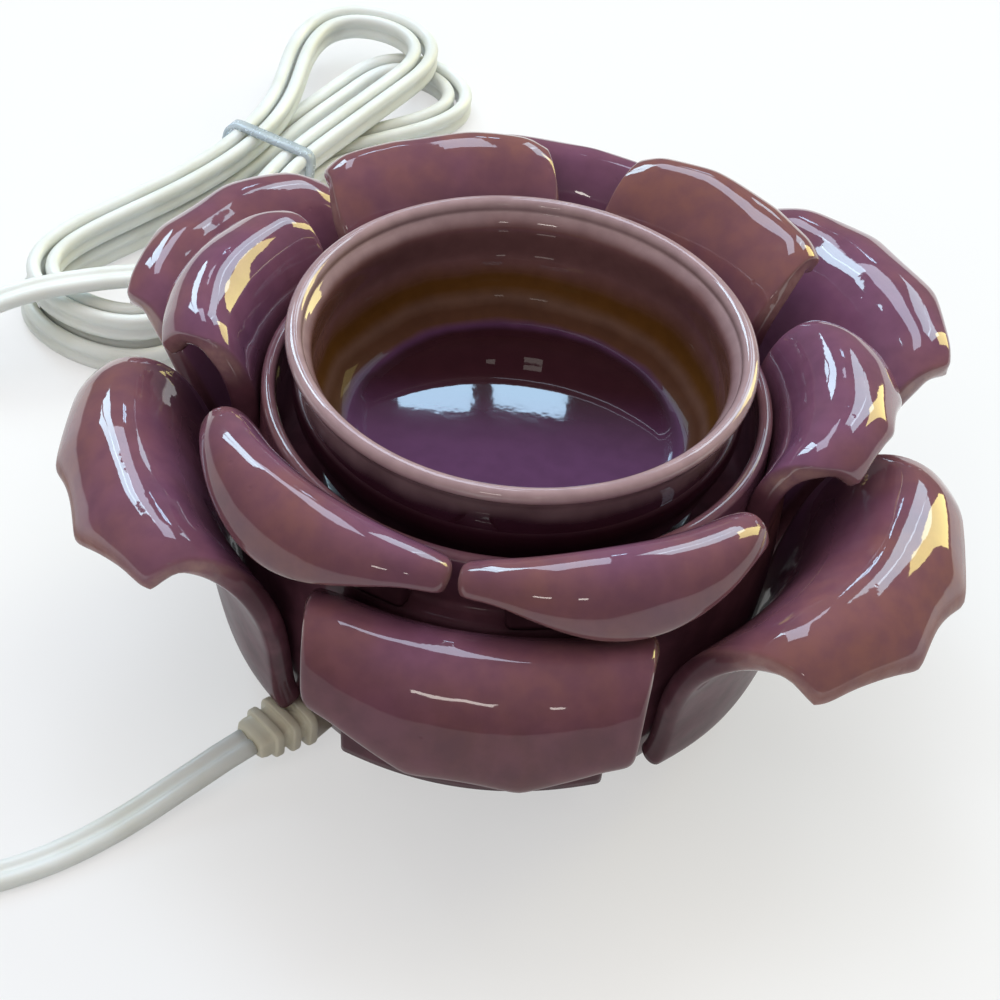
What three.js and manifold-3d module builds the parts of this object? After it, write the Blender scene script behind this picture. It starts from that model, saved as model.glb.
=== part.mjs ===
// Electric wax warmer: a glazed ceramic flower with a lift-off wax dish that stands on a heated plate.
// Millimetres, +Z up. The origin is on the table, under the middle of the flower; the front faces -Y.
import * as THREE from "three";
import { mergeVertices } from "three/addons/utils/BufferGeometryUtils.js";
import Module from "manifold-3d";

const wasm = await Module();
wasm.setup();

// Fits
const gap = 0.3; // between faces that touch
const bore = 0.3; // round a screw, pin or rivet, on the radius
const slip = 0.6; // round a piece let into an opening, on each side

// Stack from the table up
const footHeight = 1.7;
const coverThickness = 2;
const ceramicLift = 1.2; // from the table to the unglazed foot of the flower
const deckTop = 47.5;
const deckThickness = 4.5;
const plateThickness = 2.2;
const dishHeight = 34.9;

// Wax dish
const rimRadius = 49;
const rimWidth = 3.6;
const rimOverNeck = 2.4; // how far the rim stands out past the neck
const rimOverBelly = 1.6;
const dishWall = 4;
const dishFloor = 8.7;
const dishFootRadius = rimRadius - 15;
const wellFloorRadius = rimRadius - 12;
const dishNeckRadius = rimRadius - rimOverNeck;
const dishBellyRadius = rimRadius - rimOverBelly;

// Ceramic body
const dishRoom = 3.2; // between the dish and the collar
const collarWall = 3;
const shoulderWidth = 4.9;
const footInset = 10;
const bodyWall = 4.5;
const shoulderHeight = 58;
const collarHeight = 13;
const collarTop = shoulderHeight + collarHeight;
const collarRadius = dishBellyRadius + dishRoom + collarWall;
const bodyRadius = collarRadius + shoulderWidth;
const footRadius = bodyRadius - footInset;
const deckHole = 30;
const roundSegments = 36;

// Petals
const petalThickness = 4.4;
const petalEdge = 2.6; // thickness at the rim of a petal
const petalColumns = 10;
const petalRows = 8;
const outerRootHeight = 13;
const innerRootHalf = 23;
const outerRootHalf = 25;

// Heater
const plateRim = 10; // how far the plate laps over the deck
const elementRadius = 22;
const elementThickness = 3.4;
const micaRadius = 24;
const micaThickness = 1;
const panWall = 1;
const panFlange = 12;
const panSlotWidth = 20;
const clampScrewRadius = 2;
const screwHeadRatio = 2.1; // head radius over shank radius
const screwHeadHeight = 2.4;
const clampThread = 4; // how far the clamp screw reaches into the plate
const fuseRadius = 2;
const fuseLength = 10;
const fuseOffset = 12;
const clipThickness = 0.8;
const clipWidth = 5;
const clipTab = 6;

// Base
const standoffRadius = 3;
const standoffCircle = 35;
const standoffCount = 3;
const rivetRadius = 1.6;
const baseScrewRadius = 1.5;
const baseScrewHead = 0.8;
const baseThread = 8;
const footPadRadius = 6;
const footPadCircle = 27;
const footPadCount = 4;

// Cord, strain relief and wiring
const cordWidth = 7.1;
const cordThickness = 3.6;
const glandTurn = -46; // degrees from the front, towards the right
const glandHeight = 6.6;
const reliefWidth = 9.4;
const reliefHeight = 5.4;
const reliefStart = footRadius - 3.5;
const reliefFace = footRadius + 6; // where the first rib stands off the wall
const reliefEnd = footRadius + 19.5;
const ribCount = 3;
const ribThickness = 2;
const ribStand = 1.8; // how far the first rib stands out
const ribTaper = 0.45; // how much less each next one does
const coreRadius = 1.4;
const leadRadius = 1;
const coreSpread = 7;
const spliceRadius = 2.8;
const spliceLength = 13;
const spliceFoot = 15;
const spliceReach = 27;

// In-line switch, lying along +Y left of the flower
const switchPlace = new THREE.Vector2(-150, -14);
const switchLength = 60;
const switchWidth = 24;
const switchCorner = 9;
const switchLower = 6.4;
const switchUpper = 9.6;
const switchFloor = 2;
const switchCavityLength = 34;
const switchCavityWidth = 14;
const rockerLength = 22;
const rockerWidth = 11;
const rockerRise = 4.4;
const rockerDip = 3;
const rockerTuck = 4;
const rockerRest = 8; // degrees that the rocker leans at rest
const rockerPinRadius = 1.2;
const rockerPinBite = 3;
const switchScrewRadius = 1.4;
const switchScrewReach = 22;
const switchScrewHead = 1.5;
const switchScrewThread = 6;
const contactThickness = 0.8;
const contactLength = 9;
const contactWidth = 4;
const contactHeight = 2.6;
const contactReach = 10;

// Plug
const plugPlace = new THREE.Vector2(-2, 161); // where the cord enters it
const plugTurn = -30; // degrees from +X
const plugLength = 32;
const plugWidth = 25;
const plugHeight = 19;
const plugTailWidth = 12;
const plugTailHeight = 10;
const plugNeck = 9;
const bladeLength = 16;
const bladeThickness = 1.5;
const bladeWidths = [6.35, 7.9];
const bladePitch = 12.7;
const bladeHole = 1.5;

// Hank
const hankPlace = new THREE.Vector2(-71, 155);
const hankTurn = 63; // degrees of its back end from +X
const hankFrontReach = 86;
const hankBackReach = 82;
const hankFrontHalf = 24;
const hankBackHalf = 19;
const hankWaistHalf = 10.8;
const hankLoops = 4;
const hankPitch = 4.4;
const hankLayer = 8.1;
const hankClimbEase = 0.4; // share of the pitch that a climbing run is drawn in by
const hankStart = -0.02; // loops from the first waist to the end that comes from the switch
const hankEnd = 0.03; // loops from the last waist to the end that goes to the plug
const loopSteps = 24;
const loopSides = 6;
const tieThickness = 0.9;
const tieWidth = 3;
const tieCorner = 2;

// Heights that follow
const coverBottom = footHeight + gap;
const coverTop = coverBottom + coverThickness;
const deckBottom = deckTop - deckThickness;
const plateBottom = deckTop + gap;
const plateTop = plateBottom + plateThickness;
const dishBottom = plateTop + gap;
const rimTop = dishBottom + dishHeight;
const bossBottom = deckBottom + gap;
const elementTop = bossBottom - gap;
const elementBottom = elementTop - elementThickness;
const micaTop = elementBottom - gap;
const micaBottom = micaTop - micaThickness;
const panFloorTop = micaBottom - gap;
const panFloorBottom = panFloorTop - panWall;
const panTop = deckBottom - gap;
const panRadius = deckHole - slip;

// Materials, by the piece's finish
function finish(color, roughness, metalness = 0) {
  return new THREE.MeshStandardMaterial({ color, roughness, metalness });
}
const glaze = finish("#6e4658", 0.14);
const dishGlaze = finish("#4d2a44", 0.1);
const castAluminium = finish("#b9bcc0", 0.45, 1);
const zincSteel = finish("#a9adb0", 0.35, 1);
const mica = finish("#c9b58d", 0.6);
const elementBody = finish("#e6e1d6", 0.7);
const brass = finish("#c09a4e", 0.3, 1);
const wireSleeve = finish("#efece2", 0.8);
const spliceCap = finish("#d8d4c6", 0.5);
const blackPlastic = finish("#26262a", 0.55);
const footRubber = finish("#3a3a3c", 0.85);
const cordVinyl = finish("#d8d3c0", 0.45);
const ivoryPlastic = finish("#dcd7c6", 0.5);
const tiePlastic = finish("#b9cbd4", 0.35);

const warmer = new THREE.Group();
const electrics = new THREE.Group(); // its +X points out through the strain relief
electrics.rotation.z = THREE.MathUtils.degToRad(glandTurn - 90);
const switchGroup = new THREE.Group(); // its +X points along the cord
switchGroup.position.set(switchPlace.x, switchPlace.y, 0);
switchGroup.rotation.z = Math.PI / 2;
const plugGroup = new THREE.Group(); // its +X points along the blades
plugGroup.position.set(plugPlace.x, plugPlace.y, plugHeight / 2);
plugGroup.rotation.z = THREE.MathUtils.degToRad(plugTurn);
warmer.add(electrics, switchGroup, plugGroup);

function place(group, name, geometry, material) {
  const mesh = new THREE.Mesh(geometry, material);
  mesh.name = name;
  group.add(mesh);
  return mesh;
}

// Solids

// A closed turned solid about Z from [radius, height] points, given either way round.
function turned(profile, segments = roundSegments) {
  const points = profile.map(([r, z]) => new THREE.Vector2(r, z));
  const closed = points[0].x > 0 || points[points.length - 1].x > 0;
  if (THREE.ShapeUtils.area(points) < 0) points.reverse();
  if (closed) points.push(points[0].clone());
  return new THREE.LatheGeometry(points, segments).rotateX(Math.PI / 2);
}

// A turned solid between two heights, with a hole through it where one is asked for.
function ring(outer, bottom, top, hole = 0, segments = 24) {
  return turned([[hole, bottom], [outer, bottom], [outer, top], [hole, top]], segments);
}

function screw(radius, headHeight, bottom, top) {
  const head = radius * screwHeadRatio;
  const profile = [[0, bottom], [head, bottom], [head, bottom + headHeight]];
  return turned([...profile, [radius, bottom + headHeight], [radius, top], [0, top]], 16);
}

// A rounded rectangle in XY.
function roundedRectangle(length, width, corner) {
  const x = length / 2;
  const y = width / 2;
  const shape = new THREE.Shape();
  shape.moveTo(-x + corner, -y);
  shape.lineTo(x - corner, -y);
  shape.absarc(x - corner, -y + corner, corner, -Math.PI / 2, 0);
  shape.lineTo(x, y - corner);
  shape.absarc(x - corner, y - corner, corner, 0, Math.PI / 2);
  shape.lineTo(-x + corner, y);
  shape.absarc(-x + corner, y - corner, corner, Math.PI / 2, Math.PI);
  shape.lineTo(-x, -y + corner);
  shape.absarc(-x + corner, -y + corner, corner, Math.PI, Math.PI * 1.5);
  return shape;
}

function prism(shape, depth, curveSegments = 5) {
  return new THREE.ExtrudeGeometry(shape, { depth, bevelEnabled: false, curveSegments });
}

// A block with rounded edges along X, from one X to another, centred on Y and on a height.
function barAlongX(from, to, width, height, corner, middle) {
  const bar = prism(roundedRectangle(width, height, corner), to - from, 3);
  return bar.rotateX(Math.PI / 2).rotateZ(Math.PI / 2).translate(from, 0, middle);
}

function solid(geometry) {
  const bare = geometry.index ? geometry.toNonIndexed() : geometry.clone();
  bare.deleteAttribute("normal");
  bare.deleteAttribute("uv");
  const merged = mergeVertices(bare, 1e-3);
  const vertProperties = new Float32Array(merged.attributes.position.array);
  const triVerts = new Uint32Array(merged.index.array);
  return new wasm.Manifold(new wasm.Mesh({ numProp: 3, vertProperties, triVerts }));
}

function geometryOf(manifold) {
  const mesh = manifold.getMesh();
  const geometry = new THREE.BufferGeometry();
  geometry.setAttribute("position", new THREE.BufferAttribute(mesh.vertProperties, 3));
  geometry.setIndex(new THREE.BufferAttribute(mesh.triVerts, 1));
  return geometry;
}

function cut(geometry, ...tools) {
  let left = solid(geometry);
  for (const tool of tools) left = left.subtract(solid(tool));
  return geometryOf(left);
}

function join(geometry, ...others) {
  let whole = solid(geometry);
  for (const other of others) whole = whole.add(solid(other));
  return geometryOf(whole);
}

// A flat many-sided section, as [across, up] points.
function flatSection(width, height, sides) {
  const angles = Array.from({ length: sides }, (_, side) => ((2 * side + 1) * Math.PI) / sides);
  const widest = Math.max(...angles.map(Math.cos));
  const highest = Math.max(...angles.map(Math.sin));
  return angles.map((angle) => [
    ((Math.cos(angle) / widest) * width) / 2,
    ((Math.sin(angle) / highest) * height) / 2,
  ]);
}

// A closed tube of a section along a curve. The section stays level, apart from a roll in radians at
// each share of the length, so that a flat cord can turn on its edge.
function sweep(curve, section, steps, roll = () => 0) {
  const sides = section.length;
  const positions = [];
  const level = new THREE.Vector3(0, 0, 1);
  for (let step = 0; step <= steps; step++) {
    const share = step / steps;
    const middle = curve.getPointAt(share);
    const along = curve.getTangentAt(share);
    const right = new THREE.Vector3().crossVectors(along, level).normalize();
    const up = new THREE.Vector3().crossVectors(right, along);
    const turn = roll(share);
    for (const [across, high] of section) {
      const x = across * Math.cos(turn) - high * Math.sin(turn);
      const y = across * Math.sin(turn) + high * Math.cos(turn);
      const point = middle.clone().addScaledVector(right, x).addScaledVector(up, y);
      positions.push(point.x, point.y, point.z);
    }
  }
  const faces = [];
  for (let step = 0; step < steps; step++) {
    for (let side = 0; side < sides; side++) {
      const a = step * sides + side;
      const b = step * sides + ((side + 1) % sides);
      faces.push(a, a + sides, b, b, a + sides, b + sides);
    }
  }
  const last = steps * sides;
  for (let side = 1; side < sides - 1; side++) {
    faces.push(0, side, side + 1);
    faces.push(last, last + side + 1, last + side);
  }
  const geometry = new THREE.BufferGeometry();
  geometry.setAttribute("position", new THREE.Float32BufferAttribute(positions, 3));
  return geometry.setIndex(faces);
}

function curveThrough(points) {
  return new THREE.CatmullRomCurve3(points.map((p) => new THREE.Vector3(...p)), false, "centripetal");
}

// A round wire through points.
function wire(points, radius, steps) {
  return sweep(curveThrough(points), flatSection(2 * radius, 2 * radius, 8), steps);
}

// Ceramic body

// The outside of the wall from the foot to the shoulder, as a curve in radius and height.
const wallCurve = new THREE.CubicBezierCurve(
  new THREE.Vector2(footRadius, ceramicLift),
  new THREE.Vector2(footRadius + 5, ceramicLift + 9),
  new THREE.Vector2(bodyRadius - 1, ceramicLift + 20),
  new THREE.Vector2(bodyRadius, deckBottom),
);

// The wall's outside radius at a height.
function wallRadius(height) {
  if (height >= deckBottom) return bodyRadius;
  const samples = wallCurve.getPoints(200);
  return samples.find((p) => p.y >= height).x;
}

function flowerBody() {
  const wallSteps = 8;
  const outside = wallCurve.getPoints(wallSteps).map((p) => [p.x, p.y]);
  const inside = outside.map(([r, z]) => [r - bodyWall, z]);
  const lip = collarWall / 2;
  const collarInner = collarRadius - collarWall;
  const rounding = 1.2;
  const profile = [
    ...outside,
    [bodyRadius, shoulderHeight - rounding],
    [bodyRadius - rounding, shoulderHeight],
    [collarRadius, shoulderHeight],
    [collarRadius, collarTop - lip],
    [collarRadius - lip * 0.3, collarTop - lip * 0.3],
    [collarRadius - lip, collarTop],
    [collarInner + lip * 0.3, collarTop - lip * 0.3],
    [collarInner, collarTop - lip],
    [collarInner, deckTop],
    [deckHole, deckTop],
    [deckHole, deckBottom],
    ...inside.reverse(),
  ];
  const holeWidth = reliefWidth + 2 * slip;
  const holeHeight = reliefHeight + 2 * slip;
  const reliefHole = barAlongX(footRadius - 2 * bodyWall, reliefEnd, holeWidth, holeHeight, 2, glandHeight);
  return cut(turned(profile), reliefHole.rotateZ(electrics.rotation.z));
}

// Wax dish
function waxDish() {
  const z = (height) => dishBottom + height;
  const neckHeight = dishHeight * 0.84;
  const bellyHeight = dishHeight * 0.6;
  const half = rimWidth / 2;
  const outside = new THREE.SplineCurve([
    new THREE.Vector2(dishFootRadius + 3, z(1.5)),
    new THREE.Vector2(dishBellyRadius - 4.4, z(bellyHeight * 0.45)),
    new THREE.Vector2(dishBellyRadius, z(bellyHeight)),
    new THREE.Vector2(dishNeckRadius, z(neckHeight)),
    new THREE.Vector2(rimRadius - 0.3, rimTop - half * 1.3),
  ]).getPoints(10);
  const inside = new THREE.SplineCurve([
    new THREE.Vector2(rimRadius - rimWidth - 0.3, rimTop - half),
    new THREE.Vector2(dishNeckRadius - dishWall * 0.9, z(neckHeight)),
    new THREE.Vector2(dishBellyRadius - dishWall, z(bellyHeight)),
    new THREE.Vector2(wellFloorRadius + 3, z(dishFloor + 3.5)),
    new THREE.Vector2(wellFloorRadius, z(dishFloor + 0.6)),
  ]).getPoints(9);
  const profile = [
    [0, z(0)],
    [dishFootRadius, z(0)],
    ...outside.map((p) => [p.x, p.y]),
    [rimRadius, rimTop - half],
    [rimRadius - half * 0.3, rimTop - half * 0.3],
    [rimRadius - half, rimTop],
    [rimRadius - rimWidth + half * 0.3, rimTop - half * 0.3],
    ...inside.map((p) => [p.x, p.y]),
    [wellFloorRadius - 4, z(dishFloor)],
    [0, z(dishFloor)],
  ];
  return turned(profile);
}

// Petals

// A point of a Bezier curve through any number of [radius, height] handles.
function bezier(handles, share) {
  let row = handles;
  while (row.length > 1) {
    row = row.slice(1).map(([r, z], i) => [
      row[i][0] + (r - row[i][0]) * share,
      row[i][1] + (z - row[i][1]) * share,
    ]);
  }
  return row[0];
}

function smooth(x) {
  const t = THREE.MathUtils.clamp(x, 0, 1);
  return t * t * (3 - 2 * t);
}

// The middle surface of a petal. across runs from -1 to 1, and along from 0 at the root to 1 at the tip.
function petalPoint(petal, across, along) {
  const scallop = petal.scallop * Math.abs(Math.sin((petal.points * Math.PI * (across + 1)) / 2));
  const corners = petal.lens * across ** 2 + petal.round * across ** 4 + petal.skew * across;
  const share = along * (1 - scallop - corners);
  const [radius, height] = bezier(petal.spine, share);
  const swell = petal.rootHalf + (petal.half - petal.rootHalf) * smooth(share / 0.6);
  const halfWidth = swell - (petal.half - petal.tipHalf) * smooth((share - 0.6) / 0.4);
  const sideways = across * halfWidth;
  const rootCurve = 1 / petal.spine[0][0];
  const curve = rootCurve + (petal.bow - rootCurve) * smooth(share * 1.2);
  const angle = sideways * curve;
  const flat = Math.abs(curve) < 1e-5;
  const side = flat ? sideways : Math.sin(angle) / curve;
  const back = flat ? 0 : (1 - Math.cos(angle)) / curve;
  const lift = smooth(share * 1.1) * petal.cup * across * across;
  const turn = THREE.MathUtils.degToRad(petal.azimuth);
  const out = radius - back;
  const x = out * Math.sin(turn) + side * Math.cos(turn);
  const y = -out * Math.cos(turn) + side * Math.sin(turn);
  return new THREE.Vector3(x, y, height + lift);
}

function petalNormal(petal, across, along) {
  const step = 1e-3;
  const u = Math.min(Math.max(across, step - 1), 1 - step);
  const v = Math.min(Math.max(along, step), 1 - step);
  const acrossStep = petalPoint(petal, u + step, v).sub(petalPoint(petal, u - step, v));
  const alongStep = petalPoint(petal, u, v + step).sub(petalPoint(petal, u, v - step));
  return acrossStep.cross(alongStep).normalize();
}

function petalGeometry(petal) {
  const positions = [];
  for (const side of [1, -1]) {
    for (let row = 0; row <= petalRows; row++) {
      for (let column = 0; column <= petalColumns; column++) {
        const across = (2 * column) / petalColumns - 1;
        const along = row / petalRows;
        const thin = Math.max(across ** 6, along ** 8);
        const thickness = petalThickness + (petalEdge - petalThickness) * thin;
        const normal = petalNormal(petal, across, along);
        const point = petalPoint(petal, across, along).addScaledVector(normal, (side * thickness) / 2);
        positions.push(point.x, point.y, point.z);
      }
    }
  }
  const width = petalColumns + 1;
  const sheet = width * (petalRows + 1);
  const faces = [];
  const quad = (a, b, c, d) => faces.push(a, b, c, a, c, d);
  for (let row = 0; row < petalRows; row++) {
    for (let column = 0; column < petalColumns; column++) {
      const a = row * width + column;
      quad(a, a + 1, a + 1 + width, a + width);
      quad(sheet + a, sheet + a + width, sheet + a + 1 + width, sheet + a + 1);
    }
  }
  const tip = petalRows * width;
  for (let column = 0; column < petalColumns; column++) {
    quad(column, sheet + column, sheet + column + 1, column + 1);
    quad(tip + column, tip + column + 1, sheet + tip + column + 1, sheet + tip + column);
  }
  for (let row = 0; row < petalRows; row++) {
    const left = row * width;
    const right = left + petalColumns;
    quad(left, left + width, sheet + left + width, sheet + left);
    quad(right, sheet + right, sheet + right + width, right + width);
  }
  const geometry = new THREE.BufferGeometry();
  geometry.setAttribute("position", new THREE.Float32BufferAttribute(positions, 3));
  return geometry.setIndex(faces);
}

// The petals' handles are [radius, height] as shares of the body's radius and the shoulder's height,
// and their widths and cups are shares of the body's radius. scallop, lens, round and skew are the shares
// of a petal's length that its edge is drawn back by between the points, at the ends, at the corners and
// on one side.
function grown(petal, root, handles, defaults) {
  const spine = handles.map(([radius, height]) => [radius * bodyRadius, height * shoulderHeight]);
  const shape = { ...defaults, ...petal };
  return {
    ...shape,
    points: 3,
    half: shape.half * bodyRadius,
    tipHalf: shape.tipHalf * bodyRadius,
    rootHalf: shape.rootHalf * bodyRadius,
    cup: shape.cup * bodyRadius,
    spine: [root, ...spine],
  };
}

// Inner petals stand on the shoulder round the collar. The two in front are rolled like lenses.
const innerRoot = [(bodyRadius + collarRadius) / 2, shoulderHeight + gap];
const innerEdge = {
  scallop: 0.02, lens: 0, round: 0.06, skew: 0, bow: 0.89 / bodyRadius, rootHalf: innerRootHalf / bodyRadius,
};
const rolled = { scallop: 0, lens: 0.3, round: 0.05, rootHalf: 0.342, cup: -0.103 };
const rolledSpine = { rise: [0.95, 1.319], crest: [1.137, 1.569], tip: [1.256, 1.219] };
const innerPetals = [
  {
    azimuth: -160.5, rise: [0.974, 1.241], crest: [1.145, 1.44], tip: [1.291, 1.397],
    cup: -0.017, half: 0.453, tipHalf: 0.436,
  },
  {
    azimuth: 143, rise: [0.974, 1.241], crest: [1.145, 1.483], tip: [1.308, 1.414],
    cup: -0.017, half: 0.427, tipHalf: 0.41,
  },
  {
    azimuth: 88, rise: [0.957, 1.276], crest: [1.094, 1.543], tip: [1.333, 1.293],
    cup: -0.034, half: 0.41, tipHalf: 0.325, skew: -0.07,
  },
  { azimuth: 22.5, ...rolledSpine, half: 0.555, tipHalf: 0.555, ...rolled },
  { azimuth: -38.5, ...rolledSpine, half: 0.573, tipHalf: 0.573, ...rolled },
  {
    azimuth: -105, rise: [0.957, 1.276], crest: [1.094, 1.586], tip: [1.274, 1.31],
    cup: -0.034, half: 0.427, tipHalf: 0.359,
  },
].map((petal) => grown(petal, innerRoot, [petal.rise, petal.crest, petal.tip], innerEdge));

// Outer petals rise along the body wall and open out above it.
const outerRoot = [wallRadius(outerRootHeight) + gap + petalThickness * 0.55, outerRootHeight];
const outerEdge = {
  scallop: 0.025, lens: 0.02, round: 0.07, skew: 0, cup: -0.034, bow: 0.65 / bodyRadius,
  rootHalf: outerRootHalf / bodyRadius,
};
const outerPetals = [
  {
    azimuth: -2, crest: [1.333, 1.655], tip: [1.47, 0.655],
    cup: 0, half: 0.615, tipHalf: 0.564, round: 0.08, rootHalf: 0.479,
  },
  { azimuth: 64.5, crest: [1.368, 1.414], tip: [1.709, 0.931], half: 0.632, tipHalf: 0.581, rootHalf: 0.479 },
  { azimuth: 124, crest: [1.453, 1.379], tip: [1.726, 1.207], half: 0.578, tipHalf: 0.53 },
  { azimuth: 179, crest: [1.333, 1.414], tip: [1.436, 1.259], half: 0.53, tipHalf: 0.487 },
  { azimuth: -125, crest: [1.402, 1.319], tip: [1.59, 1.172], half: 0.54, tipHalf: 0.49 },
  { azimuth: -69.5, crest: [1.35, 1.466], tip: [1.624, 0.983], half: 0.578, tipHalf: 0.53 },
].map((petal) => grown(petal, outerRoot, [[1.068, 0.431], [1.06, 0.931], petal.crest, petal.tip], outerEdge));

place(warmer, "wax_dish", waxDish(), dishGlaze);
place(warmer, "flower_body", flowerBody(), glaze);
innerPetals.forEach((petal, i) => place(warmer, `inner_petal_${i + 1}`, petalGeometry(petal), glaze));
outerPetals.forEach((petal, i) => place(warmer, `outer_petal_${i + 1}`, petalGeometry(petal), glaze));

// Heater, clamped to the deck by one screw

const clampHole = clampScrewRadius + bore;
const rivetHole = rivetRadius + bore;
const panOuter = panRadius + panFlange;
const flangeBottom = panTop - panWall;
const slotMiddle = (flangeBottom + panFloorTop) / 2; // of the slot that the wires leave the pan by
const clipTop = panFloorBottom - gap;
const clipBottom = clipTop - clipThickness;
const fuseHeight = clipTop - fuseRadius;
const clampHeadTop = clipBottom - gap;
const standoffPlaces = Array.from({ length: standoffCount }, (_, i) => {
  const angle = ((2 * i + 1) * Math.PI) / standoffCount;
  return [standoffCircle * Math.cos(angle), standoffCircle * Math.sin(angle)];
});

function heaterPlate() {
  const bossRadius = deckHole - slip;
  const plateRadius = deckHole + plateRim;
  const threadTop = bossBottom + clampThread + gap;
  return turned([
    [0, threadTop],
    [clampHole, threadTop],
    [clampHole, bossBottom],
    [bossRadius, bossBottom],
    [bossRadius, plateBottom],
    [plateRadius, plateBottom],
    [plateRadius, plateTop],
    [0, plateTop],
  ]);
}

function heaterPan() {
  const inner = panRadius - panWall;
  const pan = turned([
    [clampHole, panFloorBottom],
    [panRadius, panFloorBottom],
    [panRadius, flangeBottom],
    [panOuter, flangeBottom],
    [panOuter, panTop],
    [inner, panTop],
    [inner, panFloorTop],
    [clampHole, panFloorTop],
  ]);
  const slotHeight = flangeBottom - panFloorTop - 2 * gap;
  const slot = barAlongX(micaRadius, panOuter, panSlotWidth, slotHeight, gap, slotMiddle);
  const rivets = standoffPlaces.map(([x, y]) =>
    ring(rivetHole, flangeBottom - gap, panTop + gap, 0, 12).translate(x, y, 0),
  );
  return cut(pan, slot, ...rivets);
}

// A strap from the clamp screw round the fuse, bent from one strip.
function fuseClip() {
  const inner = fuseRadius + gap;
  const outer = inner + clipThickness;
  const end = fuseOffset + outer + clipTab;
  const shape = new THREE.Shape();
  shape.moveTo(-clipTab, clipBottom);
  shape.lineTo(fuseOffset - outer, clipBottom);
  shape.lineTo(fuseOffset - outer, fuseHeight);
  shape.absarc(fuseOffset, fuseHeight, outer, Math.PI, 2 * Math.PI);
  shape.lineTo(fuseOffset + outer, clipBottom);
  shape.lineTo(end, clipBottom);
  shape.lineTo(end, clipTop);
  shape.lineTo(fuseOffset + inner, clipTop);
  shape.lineTo(fuseOffset + inner, fuseHeight);
  shape.absarc(fuseOffset, fuseHeight, inner, 2 * Math.PI, Math.PI, true);
  shape.lineTo(fuseOffset - inner, clipTop);
  shape.lineTo(-clipTab, clipTop);
  const strap = prism(shape, clipWidth, 8).rotateX(Math.PI / 2).rotateZ(Math.PI / 2);
  return cut(strap.translate(-clipWidth / 2, 0, 0), ring(clampHole, clipBottom - gap, clipTop + gap, 0, 16));
}

place(electrics, "heater_plate", heaterPlate(), castAluminium);
place(electrics, "heating_element", ring(elementRadius, elementBottom, elementTop, clampHole), elementBody);
place(electrics, "mica_disc", ring(micaRadius, micaBottom, micaTop, clampHole), mica);
place(electrics, "heater_pan", heaterPan(), zincSteel);
place(electrics, "fuse_clip", fuseClip(), zincSteel);
const clampHead = clampHeadTop - screwHeadHeight;
const clampScrew = screw(clampScrewRadius, screwHeadHeight, clampHead, bossBottom + clampThread);
place(electrics, "clamp_screw", clampScrew, zincSteel);
const fuse = new THREE.CylinderGeometry(fuseRadius, fuseRadius, fuseLength, 12).rotateZ(Math.PI / 2);
place(electrics, "thermal_fuse", fuse.translate(0, fuseOffset, fuseHeight), brass);

// Wiring, from the element through the slot in the pan to the splices, and from those to the cord

const leadStart = elementRadius + gap;
const leadHeight = elementBottom + leadRadius + gap;
const slotPass = panRadius - panWall / 2;
const dropReach = panRadius + 5;
const spliceTop = spliceFoot + spliceLength;
const belowPan = panFloorBottom - 2.5;
const coreGap = cordWidth / 4; // from the middle of the cord to the middle of one core

const neutralRoute = [
  [leadStart, -6, leadHeight],
  [slotPass, -6.2, slotMiddle],
  [dropReach, -coreSpread, panFloorBottom],
  [dropReach - 2.5, -coreSpread, belowPan - 1],
  [spliceReach + 1.4, -coreSpread, spliceTop + 3.8],
  [spliceReach, -coreSpread, spliceTop + 1.8],
  [spliceReach, -coreSpread, spliceTop + gap],
];
const liveRoute = [
  [leadStart, 6, leadHeight],
  [slotPass, 6.4, slotMiddle],
  [dropReach, 9, panFloorBottom],
  [dropReach - 4, fuseOffset - 1, fuseHeight + 0.3],
  [fuseLength * 1.6, fuseOffset, fuseHeight],
  [fuseLength / 2 + gap, fuseOffset, fuseHeight],
];
const fusedRoute = [
  [-fuseLength / 2 - gap, fuseOffset, fuseHeight],
  [-fuseLength, fuseOffset + 0.3, fuseHeight - 0.4],
  [-fuseLength - 1.5, fuseOffset + 4, fuseHeight - 2],
  [-fuseLength / 2, fuseOffset + 7.5, fuseHeight - 4.4],
  [fuseLength, fuseOffset + 5, fuseHeight - 4.4],
  [spliceReach - 7, coreSpread + 3.5, spliceTop + 1.6],
  [spliceReach - 1.6, coreSpread + 0.5, spliceTop + 3],
  [spliceReach, coreSpread, spliceTop + 2],
  [spliceReach, coreSpread, spliceTop + gap],
];
place(electrics, "heater_lead_neutral", wire(neutralRoute, leadRadius, 12), wireSleeve);
place(electrics, "heater_lead_live", wire(liveRoute, leadRadius, 14), wireSleeve);
place(electrics, "fuse_lead", wire(fusedRoute, leadRadius, 20), wireSleeve);
for (const [side, pole] of [[-1, "neutral"], [1, "live"]]) {
  const splice = ring(spliceRadius, spliceFoot, spliceTop, 0, 12);
  place(electrics, `splice_${pole}`, splice.translate(spliceReach, side * coreSpread, 0), spliceCap);
  const coreRoute = [
    [spliceReach, side * coreSpread, spliceFoot - gap],
    [spliceReach + 0.5, side * coreSpread, spliceFoot - 3.5],
    [(spliceReach + reliefStart) / 2, side * coreSpread * 0.6, glandHeight + 2.4],
    [reliefStart - 3.5, side * coreGap, glandHeight + 0.1],
    [reliefStart - gap, side * coreGap, glandHeight],
  ];
  place(electrics, `cord_core_${pole}`, wire(coreRoute, coreRadius, 10), wireSleeve);
}

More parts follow.
